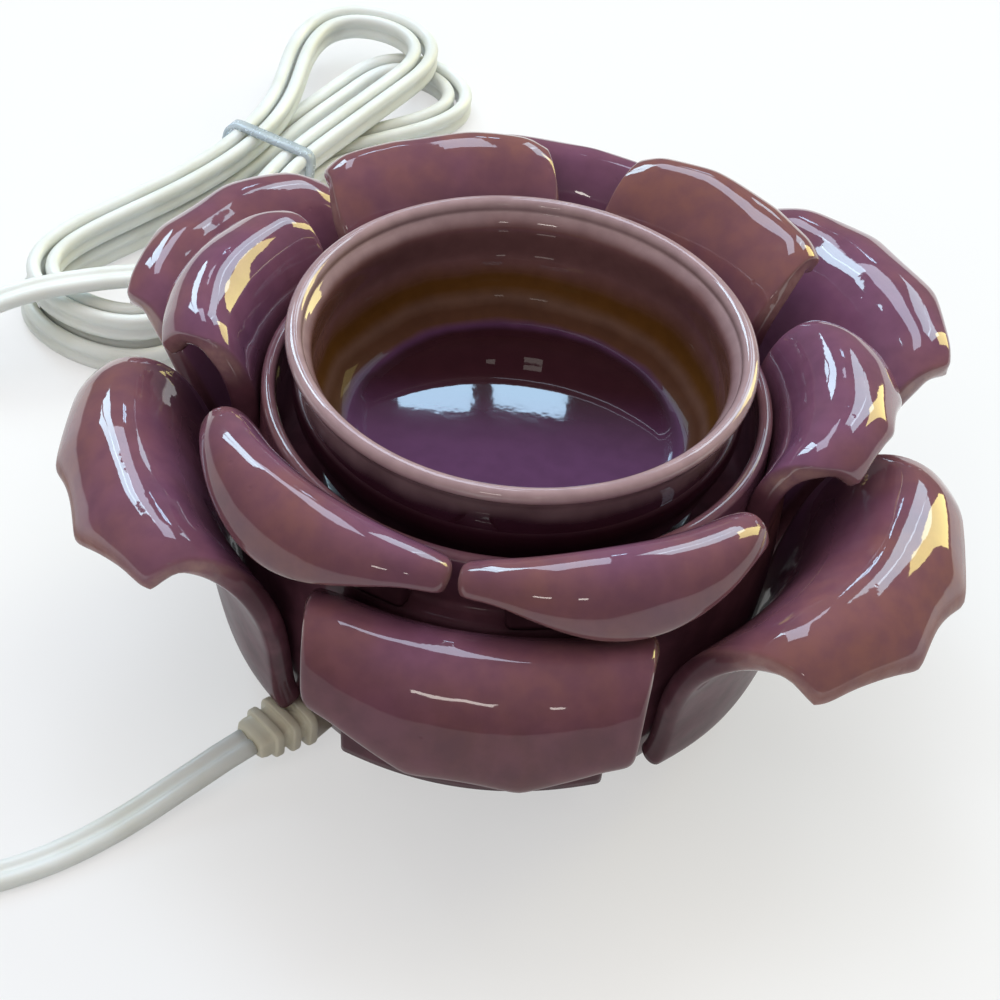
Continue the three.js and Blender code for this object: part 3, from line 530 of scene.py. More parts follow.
@dataclass(frozen=True)
class FlowerGlaze:
    """Glossy glaze over a mauve stain, paler where it ran thin off an edge, darkened by painted shade and
    dull in the hollows below.
    """

    name: str
    purple: Colour
    rose: Colour
    thin: Colour
    shade_colour: Colour
    drift: float = 1.5
    shade_mottle: float = 1.5
    cloud_depth: float = 0.62
    roughness: float = 0.08
    roughness_spread: float = 0.06
    dull_roughness: float = 0.3
    dull_coat: float = 0.25

    def make(self) -> bpy.types.Material:
        """Make the material.

        Returns:
            The material.
        """
        shader = Shader(self.name)
        drift = shader.maths("MULTIPLY", shader.maths("SUBTRACT", shader.noise(26.0, 3.0), 0.5), self.drift)
        tone = shader.maths("ADD", shader.painted("tone"), drift)
        stain = shader.blend(shader.span(tone, 0.0, 1.0, 0.0, 1.0), self.purple, self.rose)
        cloud = shader.span(shader.noise(5.0, 5.0), 0.3, 0.72, 0.0, 0.4)
        stain = shader.blend(cloud, stain, tuple(self.cloud_depth * value for value in self.purple))
        run = shader.span(shader.noise(3.0, 3.0), 0.3, 0.7, 0.45, 0.95)
        edge = shader.maths("MULTIPLY", shader.painted("thin"), run)
        glazed = shader.blend(edge, stain, self.thin)
        # Painted shade: on the undersides, the root hollows and the body wall, the glaze colour gives way to
        # a dark mottled colour that stands in for the shade there.
        mottle = shader.span(shader.noise(8.0, 5.0), 0.35, 0.68, 0.0, 1.0)
        paler = tuple(self.shade_mottle * value for value in self.shade_colour)
        mottled_shade = shader.blend(mottle, self.shade_colour, paler)
        shader.feed("Base Color", shader.blend(shader.painted("deep"), glazed, mottled_shade))
        roughest = self.roughness + self.roughness_spread
        rough = shader.span(shader.noise(9.0, 3.0), 0.3, 0.7, self.roughness, roughest)
        dull = shader.painted("dull")
        matt = shader.maths("MULTIPLY", dull, self.dull_roughness)
        shader.feed("Roughness", shader.maths("ADD", rough, matt))
        shader.feed("Coat Weight", shader.span(dull, 0.0, 1.0, 1.0, self.dull_coat))
        waves = shader.bump(shader.noise(16.0, 1.0), 0.5)
        pits = shader.bump(shader.span(shader.cells(10.0), 0.01, 0.07, 0.0, 1.0), 0.06, waves)
        skin = shader.bump(shader.noise(4.0, 2.0), 0.03, pits)
        shader.feed("Normal", skin)
        shader.feed("Coat Normal", skin)
        shader.fix(IOR=1.5, Specular_IOR_Level=0.03, Coat_Roughness=0.03, Coat_IOR=1.68)
        return shader.material


@dataclass(frozen=True)
class WellGlaze:
    """The dish's glaze: mauve walls, an amber tide mark, and a floor with a painted shadow darkening it
    towards the back.
    """

    name: str
    stops: tuple[tuple[float, Colour], ...]
    back_shadow: Colour
    back_shadow_reach: Handle = (-12.0, 18.0)
    back_shadow_edge: Handle = (0.25, 0.28)
    film_start: Handle = (0.24, 0.256)
    film_end: Handle = (0.34, 0.4)
    cloud: Colour = (0.55, 0.5, 0.55)
    roughness: float = 0.025
    roughness_spread: float = 0.02
    film_roughness: float = 0.42
    film_coat: float = 0.1

    def make(self) -> bpy.types.Material:
        """Make the material.

        Returns:
            The material.
        """
        shader = Shader(self.name)
        stray = shader.maths("MULTIPLY", shader.maths("SUBTRACT", shader.noise(18.0, 3.0), 0.5), 0.035)
        level = shader.maths("ADD", shader.painted("level"), stray)
        colour = shader.ramp(level, self.stops)
        # Painted shadow: the floor darkens from front to back where the back wall's shadow falls, fading out
        # at the floor's edge.
        front, back = self.back_shadow_reach
        shadowed = shader.span(shader.depth(), front * MM, back * MM, 0.0, 1.0)
        shadowed = shader.maths("MULTIPLY", shadowed, shader.span(level, *self.back_shadow_edge, 1.0, 0.0))
        colour = shader.blend(shadowed, colour, self.back_shadow)
        cloud = shader.span(shader.noise(4.0, 5.0), 0.3, 0.72, 0.0, 0.3)
        shader.feed("Base Color", shader.blend(cloud, colour, self.cloud, "MULTIPLY"))
        above_pool = shader.span(level, *self.film_start, 0.0, 1.0)
        film = shader.maths("MULTIPLY", above_pool, shader.span(level, *self.film_end, 1.0, 0.0))
        roughest = self.roughness + self.roughness_spread
        rough = shader.span(shader.noise(9.0, 3.0), 0.3, 0.7, self.roughness, roughest)
        matt = shader.maths("MULTIPLY", film, self.film_roughness)
        shader.feed("Roughness", shader.maths("ADD", rough, matt))
        shader.feed("Coat Weight", shader.span(film, 0.0, 1.0, 1.0, self.film_coat))
        waves = shader.bump(shader.noise(30.0, 1.0), 0.03)
        skin = shader.bump(shader.noise(4.0, 2.0), 0.004, waves)
        shader.feed("Normal", skin)
        shader.feed("Coat Normal", skin)
        shader.fix(IOR=1.5, Specular_IOR_Level=0.06, Coat_Roughness=0.02, Coat_IOR=1.62)
        return shader.material


@dataclass(frozen=True)
class Moulded:
    """Moulded plastic, vinyl or rubber with a fine grain and faint handling marks."""

    name: str
    colour: Colour
    shade: Colour
    roughness: float
    grain: float = 0.02
    grain_size: float = 0.5
    translucence: float = 0.0
    translucent_depth: Point = (4.0, 3.0, 2.0)
    roughness_spread: float = 0.14

    def make(self) -> bpy.types.Material:
        """Make the material.

        Returns:
            The material.
        """
        shader = Shader(self.name)
        patch = shader.span(shader.noise(14.0, 4.0), 0.35, 0.75, 0.0, 0.8)
        shader.feed("Base Color", shader.blend(patch, self.colour, self.shade))
        roughest = self.roughness + self.roughness_spread
        shader.feed("Roughness", shader.span(shader.noise(3.0, 3.0), 0.3, 0.7, self.roughness, roughest))
        shader.feed("Normal", shader.bump(shader.noise(self.grain_size, 2.0), self.grain))
        radius = tuple(depth * MM for depth in self.translucent_depth)
        shader.fix(Subsurface_Weight=self.translucence, Subsurface_Radius=radius)
        return shader.material


@dataclass(frozen=True)
class BrightMetal:
    """Plated or cast metal with drawn-out tool marks and a little tarnish."""

    name: str
    colour: Colour
    tarnish: Colour
    roughness: float
    stretch: Point = (1.0, 1.0, 0.08)
    roughness_spread: float = 0.15

    def make(self) -> bpy.types.Material:
        """Make the material.

        Returns:
            The material.
        """
        shader = Shader(self.name)
        patch = shader.span(shader.noise(5.0, 4.0), 0.45, 0.75, 0.0, 0.7)
        shader.feed("Base Color", shader.blend(patch, self.colour, self.tarnish))
        marks = shader.noise(0.7, 3.0, self.stretch)
        roughest = self.roughness + self.roughness_spread
        shader.feed("Roughness", shader.span(marks, 0.3, 0.7, self.roughness, roughest))
        shader.feed("Normal", shader.bump(marks, 0.012))
        shader.fix(Metallic=1.0)
        return shader.material


@dataclass(frozen=True)
class ClearTie:
    """Thin clear plastic with a cool tint and a wrinkled surface."""

    name: str
    tint: Colour

    def make(self) -> bpy.types.Material:
        """Make the material.

        Returns:
            The material.
        """
        shader = Shader(self.name)
        pale = tuple(min(1.0, 1.15 * value) for value in self.tint)
        shader.feed("Base Color", shader.blend(shader.noise(2.0, 3.0), self.tint, pale))
        shader.feed("Roughness", shader.span(shader.noise(1.5, 2.0), 0.3, 0.7, 0.12, 0.3))
        shader.feed("Normal", shader.bump(shader.noise(1.2, 2.0), 0.08))
        shader.fix(Transmission_Weight=0.55, IOR=1.45)
        return shader.material


class Finishes:
    """Every material of the warmer, made once, by slot."""

    eased_over: float = 32.0
    eased_rows: int = 3
    creased_over: float = 30.0

    def __init__(self) -> None:
        """Make them all."""
        floor_purple = (0.09, 0.032, 0.088)
        tide_brown = (0.07, 0.027, 0.014)
        tide_line = (0.12, 0.06, 0.042)
        amber = (0.1, 0.04, 0.009)
        wall_mauve = (0.185, 0.087, 0.088)
        rim_tan = (0.4, 0.27, 0.28)
        # The outside: a dark purple glaze, painted darker still as shade from the petals over it.
        outside = (0.03, 0.0075, 0.014)
        well = (
            (0.0, floor_purple),
            (0.266, floor_purple),
            (0.28, tide_brown),
            (0.3, tide_brown),
            (0.318, tide_line),
            (0.338, amber),
            (0.358, amber),
            (0.4, wall_mauve),
            (0.47, wall_mauve),
            (0.495, rim_tan),
            (0.56, rim_tan),
            (0.6, outside),
            (1.0, outside),
        )
        no_draw = (1.0, 1.0, 1.0)
        recipes = {
            Slot.GLAZE: FlowerGlaze(
                "flower_glaze",
                purple=(0.18, 0.07, 0.132),
                rose=(0.225, 0.092, 0.08),
                thin=(0.33, 0.19, 0.175),
                # the dark colour of the painted shade on undersides and in hollows
                shade_colour=(0.082, 0.03, 0.042),
            ),
            # the last colour is the painted shadow on the back of the dish's floor
            Slot.DISH_GLAZE: WellGlaze("dish_glaze", well, (0.022, 0.005, 0.008)),
            Slot.ALUMINIUM: BrightMetal(
                "cast_aluminium", (0.66, 0.67, 0.68), (0.45, 0.45, 0.46), 0.32, stretch=no_draw
            ),
            Slot.ELEMENT: Moulded("element_cement", (0.55, 0.5, 0.42), (0.4, 0.36, 0.3), 0.75, 0.06, 0.8),
            Slot.MICA: Moulded("mica_sheet", (0.5, 0.42, 0.27), (0.35, 0.28, 0.17), 0.3, 0.03, 2.5),
            Slot.ZINC: BrightMetal("zinc_steel", (0.62, 0.63, 0.62), (0.42, 0.41, 0.36), 0.26),
            Slot.BRASS: BrightMetal("blade_brass", (0.72, 0.52, 0.22), (0.45, 0.3, 0.12), 0.22),
            Slot.SLEEVE: Moulded("woven_sleeve", (0.78, 0.76, 0.7), (0.6, 0.57, 0.5), 0.6, 0.08, 0.45),
            Slot.SPLICE: Moulded("splice_cap", (0.62, 0.6, 0.54), (0.5, 0.48, 0.42), 0.4),
            Slot.BLACK: Moulded("base_plastic", (0.02, 0.02, 0.021), (0.032, 0.031, 0.03), 0.5, 0.05, 0.6),
            Slot.RUBBER: Moulded("foot_rubber", (0.03, 0.029, 0.028), (0.05, 0.048, 0.045), 0.75, 0.03, 0.4),
            Slot.VINYL: Moulded(
                "cord_vinyl", (0.77, 0.79, 0.76), (0.69, 0.7, 0.63), 0.3, 0.01, 0.8, translucence=0.08
            ),
            Slot.IVORY: Moulded(
                "ivory_plastic", (0.7, 0.66, 0.53), (0.6, 0.55, 0.42), 0.34, 0.015, 0.5, translucence=0.1
            ),
            Slot.TIE: ClearTie("tie_plastic", (0.7, 0.78, 0.84)),
        }
        self.materials = {slot: recipe.make() for slot, recipe in recipes.items()}

    def put_on(
        self,
        piece: bpy.types.Object,
        slot: Slot,
        body: Body = Body.WARMER,
        stands_for: Sequence[str] = (),
    ) -> bpy.types.Object:
        """Give a new piece its finish and its place in the frame.

        Args:
            piece: the piece.
            slot: the slot that its finish comes from.
            body: the body that it rides on.
            stands_for: the CAD nodes that it stands for.

        Returns:
            The piece.
        """
        piece.data.materials.clear()
        piece.data.materials.append(self.materials[slot])
        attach(piece, body.value)
        if stands_for:
            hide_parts(*stands_for)
        log.info("%s rides on %s", piece.name, body.value)
        return piece

    def dress(self, node: str, slot: Slot, bevel: float = 0.25) -> bpy.types.Object:
        """Give a CAD node its finish and eased edges.

        Args:
            node: the node's name.
            slot: the slot that its finish comes from.
            bevel: the width of the eased edges, in millimetres.

        Returns:
            The node's object.
        """
        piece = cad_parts[node]
        piece.data.materials.clear()
        piece.data.materials.append(self.materials[slot])
        piece.data.shade_smooth()
        piece.modifiers.new("joined", "WELD").merge_threshold = 2 * SAME_PLACE
        eased = piece.modifiers.new("eased", "BEVEL")
        eased.width = bevel * MM
        eased.segments = self.eased_rows
        eased.limit_method = "ANGLE"
        eased.angle_limit = math.radians(self.eased_over)
        creased = piece.modifiers.new("creased", "EDGE_SPLIT")
        creased.split_angle = math.radians(self.creased_over)
        log.info("%s dressed as %s", node, slot.value)
        return piece


# Camera and studio


@dataclass
class PhotoCamera:
    """The camera as it stood: above the front, a little rolled, with a long lens."""

    aim: Point = (0.0, 0.0, 82.0)
    aim_pixel: tuple[float, float] = (522.0, 347.0)
    frame_size: float = 1000.0
    pixels_per_mm: float = 4.857
    distance: float = 610.0
    tilt: float = 39.0
    roll: float = 5.8
    sensor: float = 36.0

    def build(self) -> bpy.types.Object:
        """Make the camera and look through it.

        Returns:
            The camera object.
        """
        tilt = math.radians(self.tilt)
        roll = math.radians(self.roll)
        forward = Vector((0.0, math.cos(tilt), -math.sin(tilt)))
        right = Vector((1.0, 0.0, 0.0))
        up = right.cross(forward)
        rolled_right = math.cos(roll) * right + math.sin(roll) * up
        rolled_up = -math.sin(roll) * right + math.cos(roll) * up
        level = Matrix((rolled_right, rolled_up, -forward)).transposed()
        focal = self.pixels_per_mm * self.distance
        aside = (self.aim_pixel[0] - self.frame_size / 2) / focal
        above = (self.frame_size / 2 - self.aim_pixel[1]) / focal
        swing = Vector((aside, above, -1.0)).rotation_difference(Vector((0.0, 0.0, -1.0)))
        lens = bpy.data.cameras.new("photo_camera")
        lens.sensor_width = self.sensor
        lens.lens = self.sensor * focal / self.frame_size
        lens.clip_start = 0.01
        camera = bpy.data.objects.new("photo_camera", lens)
        place = (Vector(self.aim) - self.distance * forward) * MM
        camera.matrix_world = Matrix.Translation(place) @ (level @ swing.to_matrix()).to_4x4()
        bpy.context.scene.collection.objects.link(camera)
        bpy.context.scene.camera = camera
        return camera


@dataclass(frozen=True)
class Panel:
    """One soft light, aimed at the flower."""

    name: str
    azimuth: float
    elevation: float
    width: float
    height: float
    strength: float
    colour: Colour
    mirrored: bool = True
    distance: float = 4.0
    aim_height: float = 0.07

    def build(self) -> None:
        """Hang the light.

        Width and height are degrees seen from the flower, and strength is its radiance. A light that isn't
        mirrored only fills: the glaze doesn't show its outline.
        """
        lamp = bpy.data.lights.new(self.name, "AREA")
        lamp.shape = "RECTANGLE"
        lamp.size = 2.0 * self.distance * math.tan(math.radians(self.width / 2))
        lamp.size_y = 2.0 * self.distance * math.tan(math.radians(self.height / 2))
        lamp.energy = self.strength * math.pi * lamp.size * lamp.size_y
        lamp.color = self.colour
        aside = math.radians(self.azimuth)
        above = math.radians(self.elevation)
        level = math.cos(above)
        toward = Vector((math.sin(aside) * level, math.cos(aside) * level, math.sin(above)))
        hung = bpy.data.objects.new(self.name, lamp)
        hung.location = Vector((0.0, 0.0, self.aim_height)) + self.distance * toward
        hung.rotation_euler = toward.to_track_quat("Z", "Y").to_euler()
        hung.visible_glossy = self.mirrored
        bpy.context.scene.collection.objects.link(hung)


@dataclass
class Studio:
    """A pale floor, windows behind, a warm lamp at the right and a soft room all round."""

    floor_size: float = 40.0
    floor_white: float = 0.74
    floor_fleck: float = 0.985
    floor_glow: float = 0.54
    room: Colour = (0.15, 0.148, 0.146)
    panels: tuple[Panel, ...] = (
        Panel("far_pane_left", -2.37, 38.25, 1.72, 3.85, 9.5, (0.5, 0.75, 1.0)),
        Panel("far_pane_right", 0.36, 38.15, 1.6, 3.75, 9.5, (0.5, 0.75, 1.0)),
        Panel("window_left_a", -40.0, 39.0, 7.0, 22.0, 9.5, (0.6, 0.84, 1.0)),
        Panel("window_left_b", -30.0, 39.0, 8.0, 22.0, 9.5, (0.6, 0.84, 1.0)),
        Panel("window_right_a", 22.0, 40.0, 12.0, 24.0, 4.5, (0.66, 0.86, 1.0)),
        Panel("window_right_b", 36.0, 40.0, 12.0, 24.0, 4.5, (0.66, 0.86, 1.0)),
        Panel("skylight", -14.0, 59.0, 15.0, 28.0, 4.4, (0.7, 0.81, 1.0)),
        Panel("warm_lamp", 47.0, 19.0, 16.0, 32.0, 6.5, (1.0, 0.88, 0.32)),
        Panel("ceiling_lamp_a", -172.0, 32.0, 8.5, 3.6, 9.0, (1.0, 0.95, 0.88)),
        Panel("ceiling_lamp_b", 165.0, 29.0, 4.2, 2.8, 9.0, (1.0, 0.95, 0.88)),
        Panel("sky", -6.0, 65.0, 56.0, 38.0, 1.2, (0.92, 0.94, 1.0), False),
        Panel("ceiling", 180.0, 84.0, 60.0, 60.0, 1.4, (1.0, 0.97, 0.94), False),
        Panel("soft_front", -150.0, 40.0, 60.0, 36.0, 0.8, (1.0, 0.97, 0.94), False),
    )

    def build(self) -> None:
        """Lay the floor, light the room and hang the lights."""
        bpy.context.scene.view_settings.view_transform = "Standard"
        self.lay_floor()
        world = bpy.data.worlds.new("studio_room")
        world.use_nodes = True
        background = world.node_tree.nodes["Background"]
        background.inputs["Color"].default_value = (*self.room, 1.0)
        bpy.context.scene.world = world
        for panel in self.panels:
            panel.build()

    def lay_floor(self) -> None:
        """Lay a pale floor that the camera sees as nearly white, with the object's shadow kept."""
        half = self.floor_size / 2
        mesh = bpy.data.meshes.new("studio_floor")
        corners = [(-half, -half, 0), (half, -half, 0), (half, half, 0), (-half, half, 0)]
        mesh.from_pydata(corners, [], [(0, 1, 2, 3)])
        floor = bpy.data.objects.new("studio_floor", mesh)
        bpy.context.scene.collection.objects.link(floor)
        shader = Shader("floor_paper")
        shader.fix(Roughness=0.9, Specular_IOR_Level=0.0)
        white = (self.floor_white,) * 3
        grey = tuple(self.floor_fleck * value for value in white)
        shader.feed("Base Color", shader.blend(shader.noise(60.0, 3.0), white, grey))
        glow = shader.add("ShaderNodeEmission")
        path = shader.add("ShaderNodeLightPath")
        seen = path.outputs["Is Camera Ray"]
        for kind in ("Is Glossy Ray", "Is Transmission Ray"):
            seen = shader.maths("MAXIMUM", seen, path.outputs[kind])
        share = shader.maths("MULTIPLY", seen, self.floor_glow)
        mixed = shader.add("ShaderNodeMixShader")
        shader.join(share, mixed.inputs[0])
        shader.join(shader.surface.outputs["BSDF"], mixed.inputs[1])
        shader.join(glow.outputs["Emission"], mixed.inputs[2])
        shader.join(mixed.outputs["Shader"], shader.tree.nodes["Material Output"].inputs["Surface"])
        mesh.materials.append(shader.material)


# Cord


@dataclass
class Hank:
    """The spare cord, folded on its edge: in on the upper layer, out on the lower, fanned at the back."""

    place: Handle = (-71.0, 155.0)
    turn: float = 63.0
    front_reach: float = 86.0
    back_reach: float = 74.0
    front_half: float = 24.0
    back_half: float = 19.0
    waist_half: float = 10.8
    loops: int = 4
    pitch: float = 4.4
    layer: float = 8.3
    climb_ease: float = 0.5
    upper_fan: float = 6.0
    lower_fan: float = -10.0
    fan_ease: float = 0.62
    start: float = -0.02
    end: float = 0.03
    lift: float = 1.2
    points_per_loop: int = 36

    def route(self, on_edge: float) -> np.ndarray:
        """The line of the cord through the hank.

        Args:
            on_edge: the height of the cord's middle when it stands on its edge.

        Returns:
            Places along the cord.
        """
        count = round(self.points_per_loop * (self.loops + self.end - self.start))
        loop = np.linspace(self.start, self.loops + self.end, count)
        sin = np.sin(2 * math.pi * loop)
        cos = np.cos(2 * math.pi * loop)
        reach = np.where(sin > 0, self.back_reach, self.front_reach)
        half = np.where(sin > 0, self.back_half, self.front_half)
        swell = (half - self.waist_half / math.sqrt(3)) * 1.5 * math.sqrt(3)
        aside = self.waist_half + swell * sin**2
        heading = np.stack([reach * cos, sin * (aside - 2 * swell * cos**2)])
        heading /= np.linalg.norm(heading, axis=0)
        climb = np.clip(4 * (loop - self.loops / 2) + 1, 0.0, 1.0)
        ease = self.climb_ease * np.sin(math.pi * climb) ** 2
        inward = self.pitch * (np.maximum(np.minimum(loop, self.loops - loop), 0.0) + ease)
        along = reach * sin - heading[1] * inward
        aside = -aside * cos + heading[0] * inward
        height = on_edge + self.lift * cos**4 + self.layer * (1 - smooth(climb))
        fan = np.where(loop < self.loops / 2, self.upper_fan, self.lower_fan) * smooth(sin / self.fan_ease)
        laid = turned_about(self.turn + fan, np.stack([along, aside], axis=1))
        return np.column_stack([laid + np.asarray(self.place), height])


@dataclass
class FlatCord:
    """The two-wire cord, one length from the strain relief through the switch and the hank to the plug."""

    width: float = 7.1
    thickness: float = 3.6
    web: float = 2.0
    length: float = 1.9
    spacing: float = 2.0
    easings: int = 10
    easing_share: float = 0.25
    stands_from: float = 0.74
    stands_within: float = 0.22
    wire_opening: float = 128.0
    wire_steps: int = 13
    lead: tuple[Point, ...] = (
        (-49.13, -47.45, 6.6),
        (-53.6, -51.8, 5.9),
        (-60.5, -58.0, 4.2),
        (-71.0, -68.6, 2.4),
        (-83.2, -79.6, 1.8),
        (-96.5, -88.0, 1.8),
        (-111.0, -93.5, 1.8),
        (-126.5, -93.2, 1.8),
        (-140.0, -85.0, 2.2),
        (-147.6, -71.5, 3.6),
        (-150.0, -51.5, 6.15),
        (-150.0, -44.3, 6.55),
    )
    through_switch: tuple[Point, ...] = ((-150.0, -34.0, 5.4), (-150.0, -14.0, 4.4), (-150.0, 6.0, 5.4))
    back: tuple[Point, ...] = (
        (-150.0, 16.3, 6.55),
        (-150.0, 24.0, 5.95),
        (-150.0, 35.0, 3.2),
        (-149.6, 47.0, 2.2),
        (-147.0, 57.0, 3.4),
        (-141.0, 66.0, 9.0),
        (-131.5, 73.5, 16.0),
        (-119.0, 79.5, 19.4),
        (-106.0, 85.5, 19.8),
        (-93.5, 89.5, 19.8),
        (-82.0, 92.0, 19.8),
        (-73.5, 96.5, 19.6),
        (-68.4, 104.5, 18.8),
        (-67.0, 113.5, 17.4),
        (-67.2, 122.5, 14.6),
    )
    tail: tuple[Point, ...] = (
        (-44.0, 169.5, 3.8),
        (-33.0, 172.5, 4.2),
        (-20.0, 169.5, 6.2),
        (-8.9, 165.0, 8.9),
    )
    plug_entry: Point = (-1.0, 160.4, 9.5)
    hank: Hank = field(default_factory=Hank)

    def route(self) -> np.ndarray:
        """The whole line of the cord.

        Returns:
            Places at an even spacing, with the bends eased in plan, and with how far the cord stands on
            its edge, in degrees, as a fourth column.
        """
        folded = self.hank.route(self.width / 2)
        flat = [(*point, 0.0) for point in self.lead + self.through_switch]
        reach = np.linalg.norm(np.diff(np.asarray(self.back), axis=0), axis=1).cumsum()
        shares = [0.0, *(reach / reach[-1])]
        raised = smooth((np.asarray(shares) - self.stands_from) / self.stands_within)
        rising = [(*point, 90.0 * share) for point, share in zip(self.back, raised.tolist())]
        edge = [(*point, 90.0) for point in folded.tolist()]
        falling = [(*point, 90.0 * (1.0 - (i + 1) / len(self.tail))) for i, point in enumerate(self.tail)]
        knots = [*flat, *rising, *edge, *falling, (*self.plug_entry, 0.0)]
        line = curve_through(knots, self.spacing)
        for _ in range(self.easings):
            line[1:-1, :2] += self.easing_share * (line[:-2, :2] - 2 * line[1:-1, :2] + line[2:, :2])
        return line

    def section(self) -> np.ndarray:
        """The outline of the cord: two round wires with a groove between them.

        Returns:
            Places across the width and the thickness.
        """
        radius = self.thickness / 2
        middle = self.width / 2 - radius
        turn = np.radians(np.linspace(-self.wire_opening, self.wire_opening, self.wire_steps))
        right = np.stack([middle + radius * np.cos(turn), radius * np.sin(turn)], axis=1)
        groove = np.array([[0.0, self.web / 2]])
        return np.concatenate([right, groove, -right, -groove])

    def build(self, finishes: Finishes) -> tuple[bpy.types.Object, np.ndarray]:
        """Make the cord.

        Args:
            finishes: the materials.

        Returns:
            The cord, and the line that it follows.
        """
        route = self.route()
        line = route[:, :3]
        heading = np.gradient(line, axis=0)
        heading /= np.linalg.norm(heading, axis=1)[:, None]
        side = np.cross(heading, (0.0, 0.0, 1.0))
        side /= np.linalg.norm(side, axis=1)[:, None]
        above = np.cross(side, heading)
        roll = np.radians(route[:, 3:])
        wide = np.cos(roll) * side + np.sin(roll) * above
        thick = np.cross(heading, wide)
        outline = self.section()
        tube = line[:, None] + outline[:, :1] * wide[:, None] + outline[:, 1:] * thick[:, None]
        cord = Skin().tube(tube).piece("flat_cord")
        nodes = ("cord_lead", "cord_return", "cord_hank", "cord_tail")
        return finishes.put_on(cord, Slot.VINYL, stands_for=nodes), line


@dataclass
class StrainRelief:
    """The ribbed sleeve that holds the cord where it leaves the foot."""

    turn: float = -136.0
    height: float = 6.6
    start: float = 45.0
    face: float = 54.5
    end: float = 68.0
    half_width: float = 4.7
    half_height: float = 2.7
    ribs: int = 3
    rib_thickness: float = 2.0
    rib_stand: float = 1.8
    rib_taper: float = 0.45
    easing: float = 0.35
    end_easing: float = 0.3
    fillet: float = 0.15
    fillet_length: float = 0.2
    tip_round: float = 0.5
    tip_drop: Handle = (0.25, 0.75)
    steps: int = 40
    square: float = 5.0

    def stations(self) -> list[tuple[float, float, float]]:
        """The sections, from the wall out along the cord.

        Returns:
            Place, half width and half height of each section.
        """
        made = [(self.start, -self.end_easing), (self.start + self.end_easing, 0.0)]
        for rib in range(self.ribs):
            near = self.face + 2 * rib * self.rib_thickness
            far = near + self.rib_thickness
            stand = self.rib_stand - rib * self.rib_taper
            corner = [(1 - math.cos(a), 1 - math.sin(a)) for a in np.radians((0.0, 45.0, 90.0))]
            made += [(near + self.easing * x, stand - self.easing * drop) for x, drop in corner]
            made += [(far - self.easing * x, stand - self.easing * drop) for x, drop in corner[::-1]]
            made += [(far, self.fillet), (far + self.fillet_length, 0.0)]
            foot = far + self.rib_thickness
            made += [(foot - self.fillet_length, 0.0), (foot, self.fillet)]
        made[-1] = (self.end - self.tip_round, -self.tip_drop[0])
        made.append((self.end, -self.tip_drop[1]))
        return [(x, self.half_width + grow, self.half_height + grow) for x, grow in made]

    def build(self, finishes: Finishes) -> bpy.types.Object:
        """Make the strain relief.

        Args:
            finishes: the materials.

        Returns:
            The strain relief.
        """
        shape = loft(self.stations(), self.steps, self.square)
        shape[..., 2] += self.height
        piece = Skin().tube(turned_about(self.turn, shape)).piece("ribbed_relief")
        return finishes.put_on(piece, Slot.IVORY, stands_for=("strain_relief",))


@dataclass
class TwistTie:
    """A clear band round the waist of the hank."""

    place: Handle = Hank.place
    turn: float = Hank.turn - 90.0
    half_width: float = 13.5
    height: float = 17.6
    thickness: float = 0.9
    width: float = 3.4
    wave: float = 0.5
    lean: float = 0.9
    square: float = 5.0
    steps: int = 96

    def build(self, finishes: Finishes) -> bpy.types.Object:
        """Make the tie as a thin band that leans a little as it goes round.

        Args:
            finishes: the materials.

        Returns:
            The tie.
        """
        angle = np.linspace(0.0, 2.0 * math.pi, self.steps, endpoint=False)
        across, upward = rounded_square(angle, self.square)
        lean = self.wave * np.sin(3 * angle) + self.lean * upward
        middle = self.height / 2
        rows = []
        for side, inset in ((-1, 0.0), (1, 0.0), (1, 1.0), (-1, 1.0)):
            drawn = self.thickness * inset
            x = (self.half_width - drawn) * across
            y = side * self.width / 2 + lean
            z = middle + (middle - drawn) * upward
            rows.append(np.stack([x, y, z], axis=-1))
        band = turned_about(self.turn, np.stack([*rows, rows[0]]))
        band[..., :2] += self.place
        piece = Skin().grid(band, ring=True).piece("twist_tie")
        return finishes.put_on(piece, Slot.TIE, stands_for=("cord_tie",))


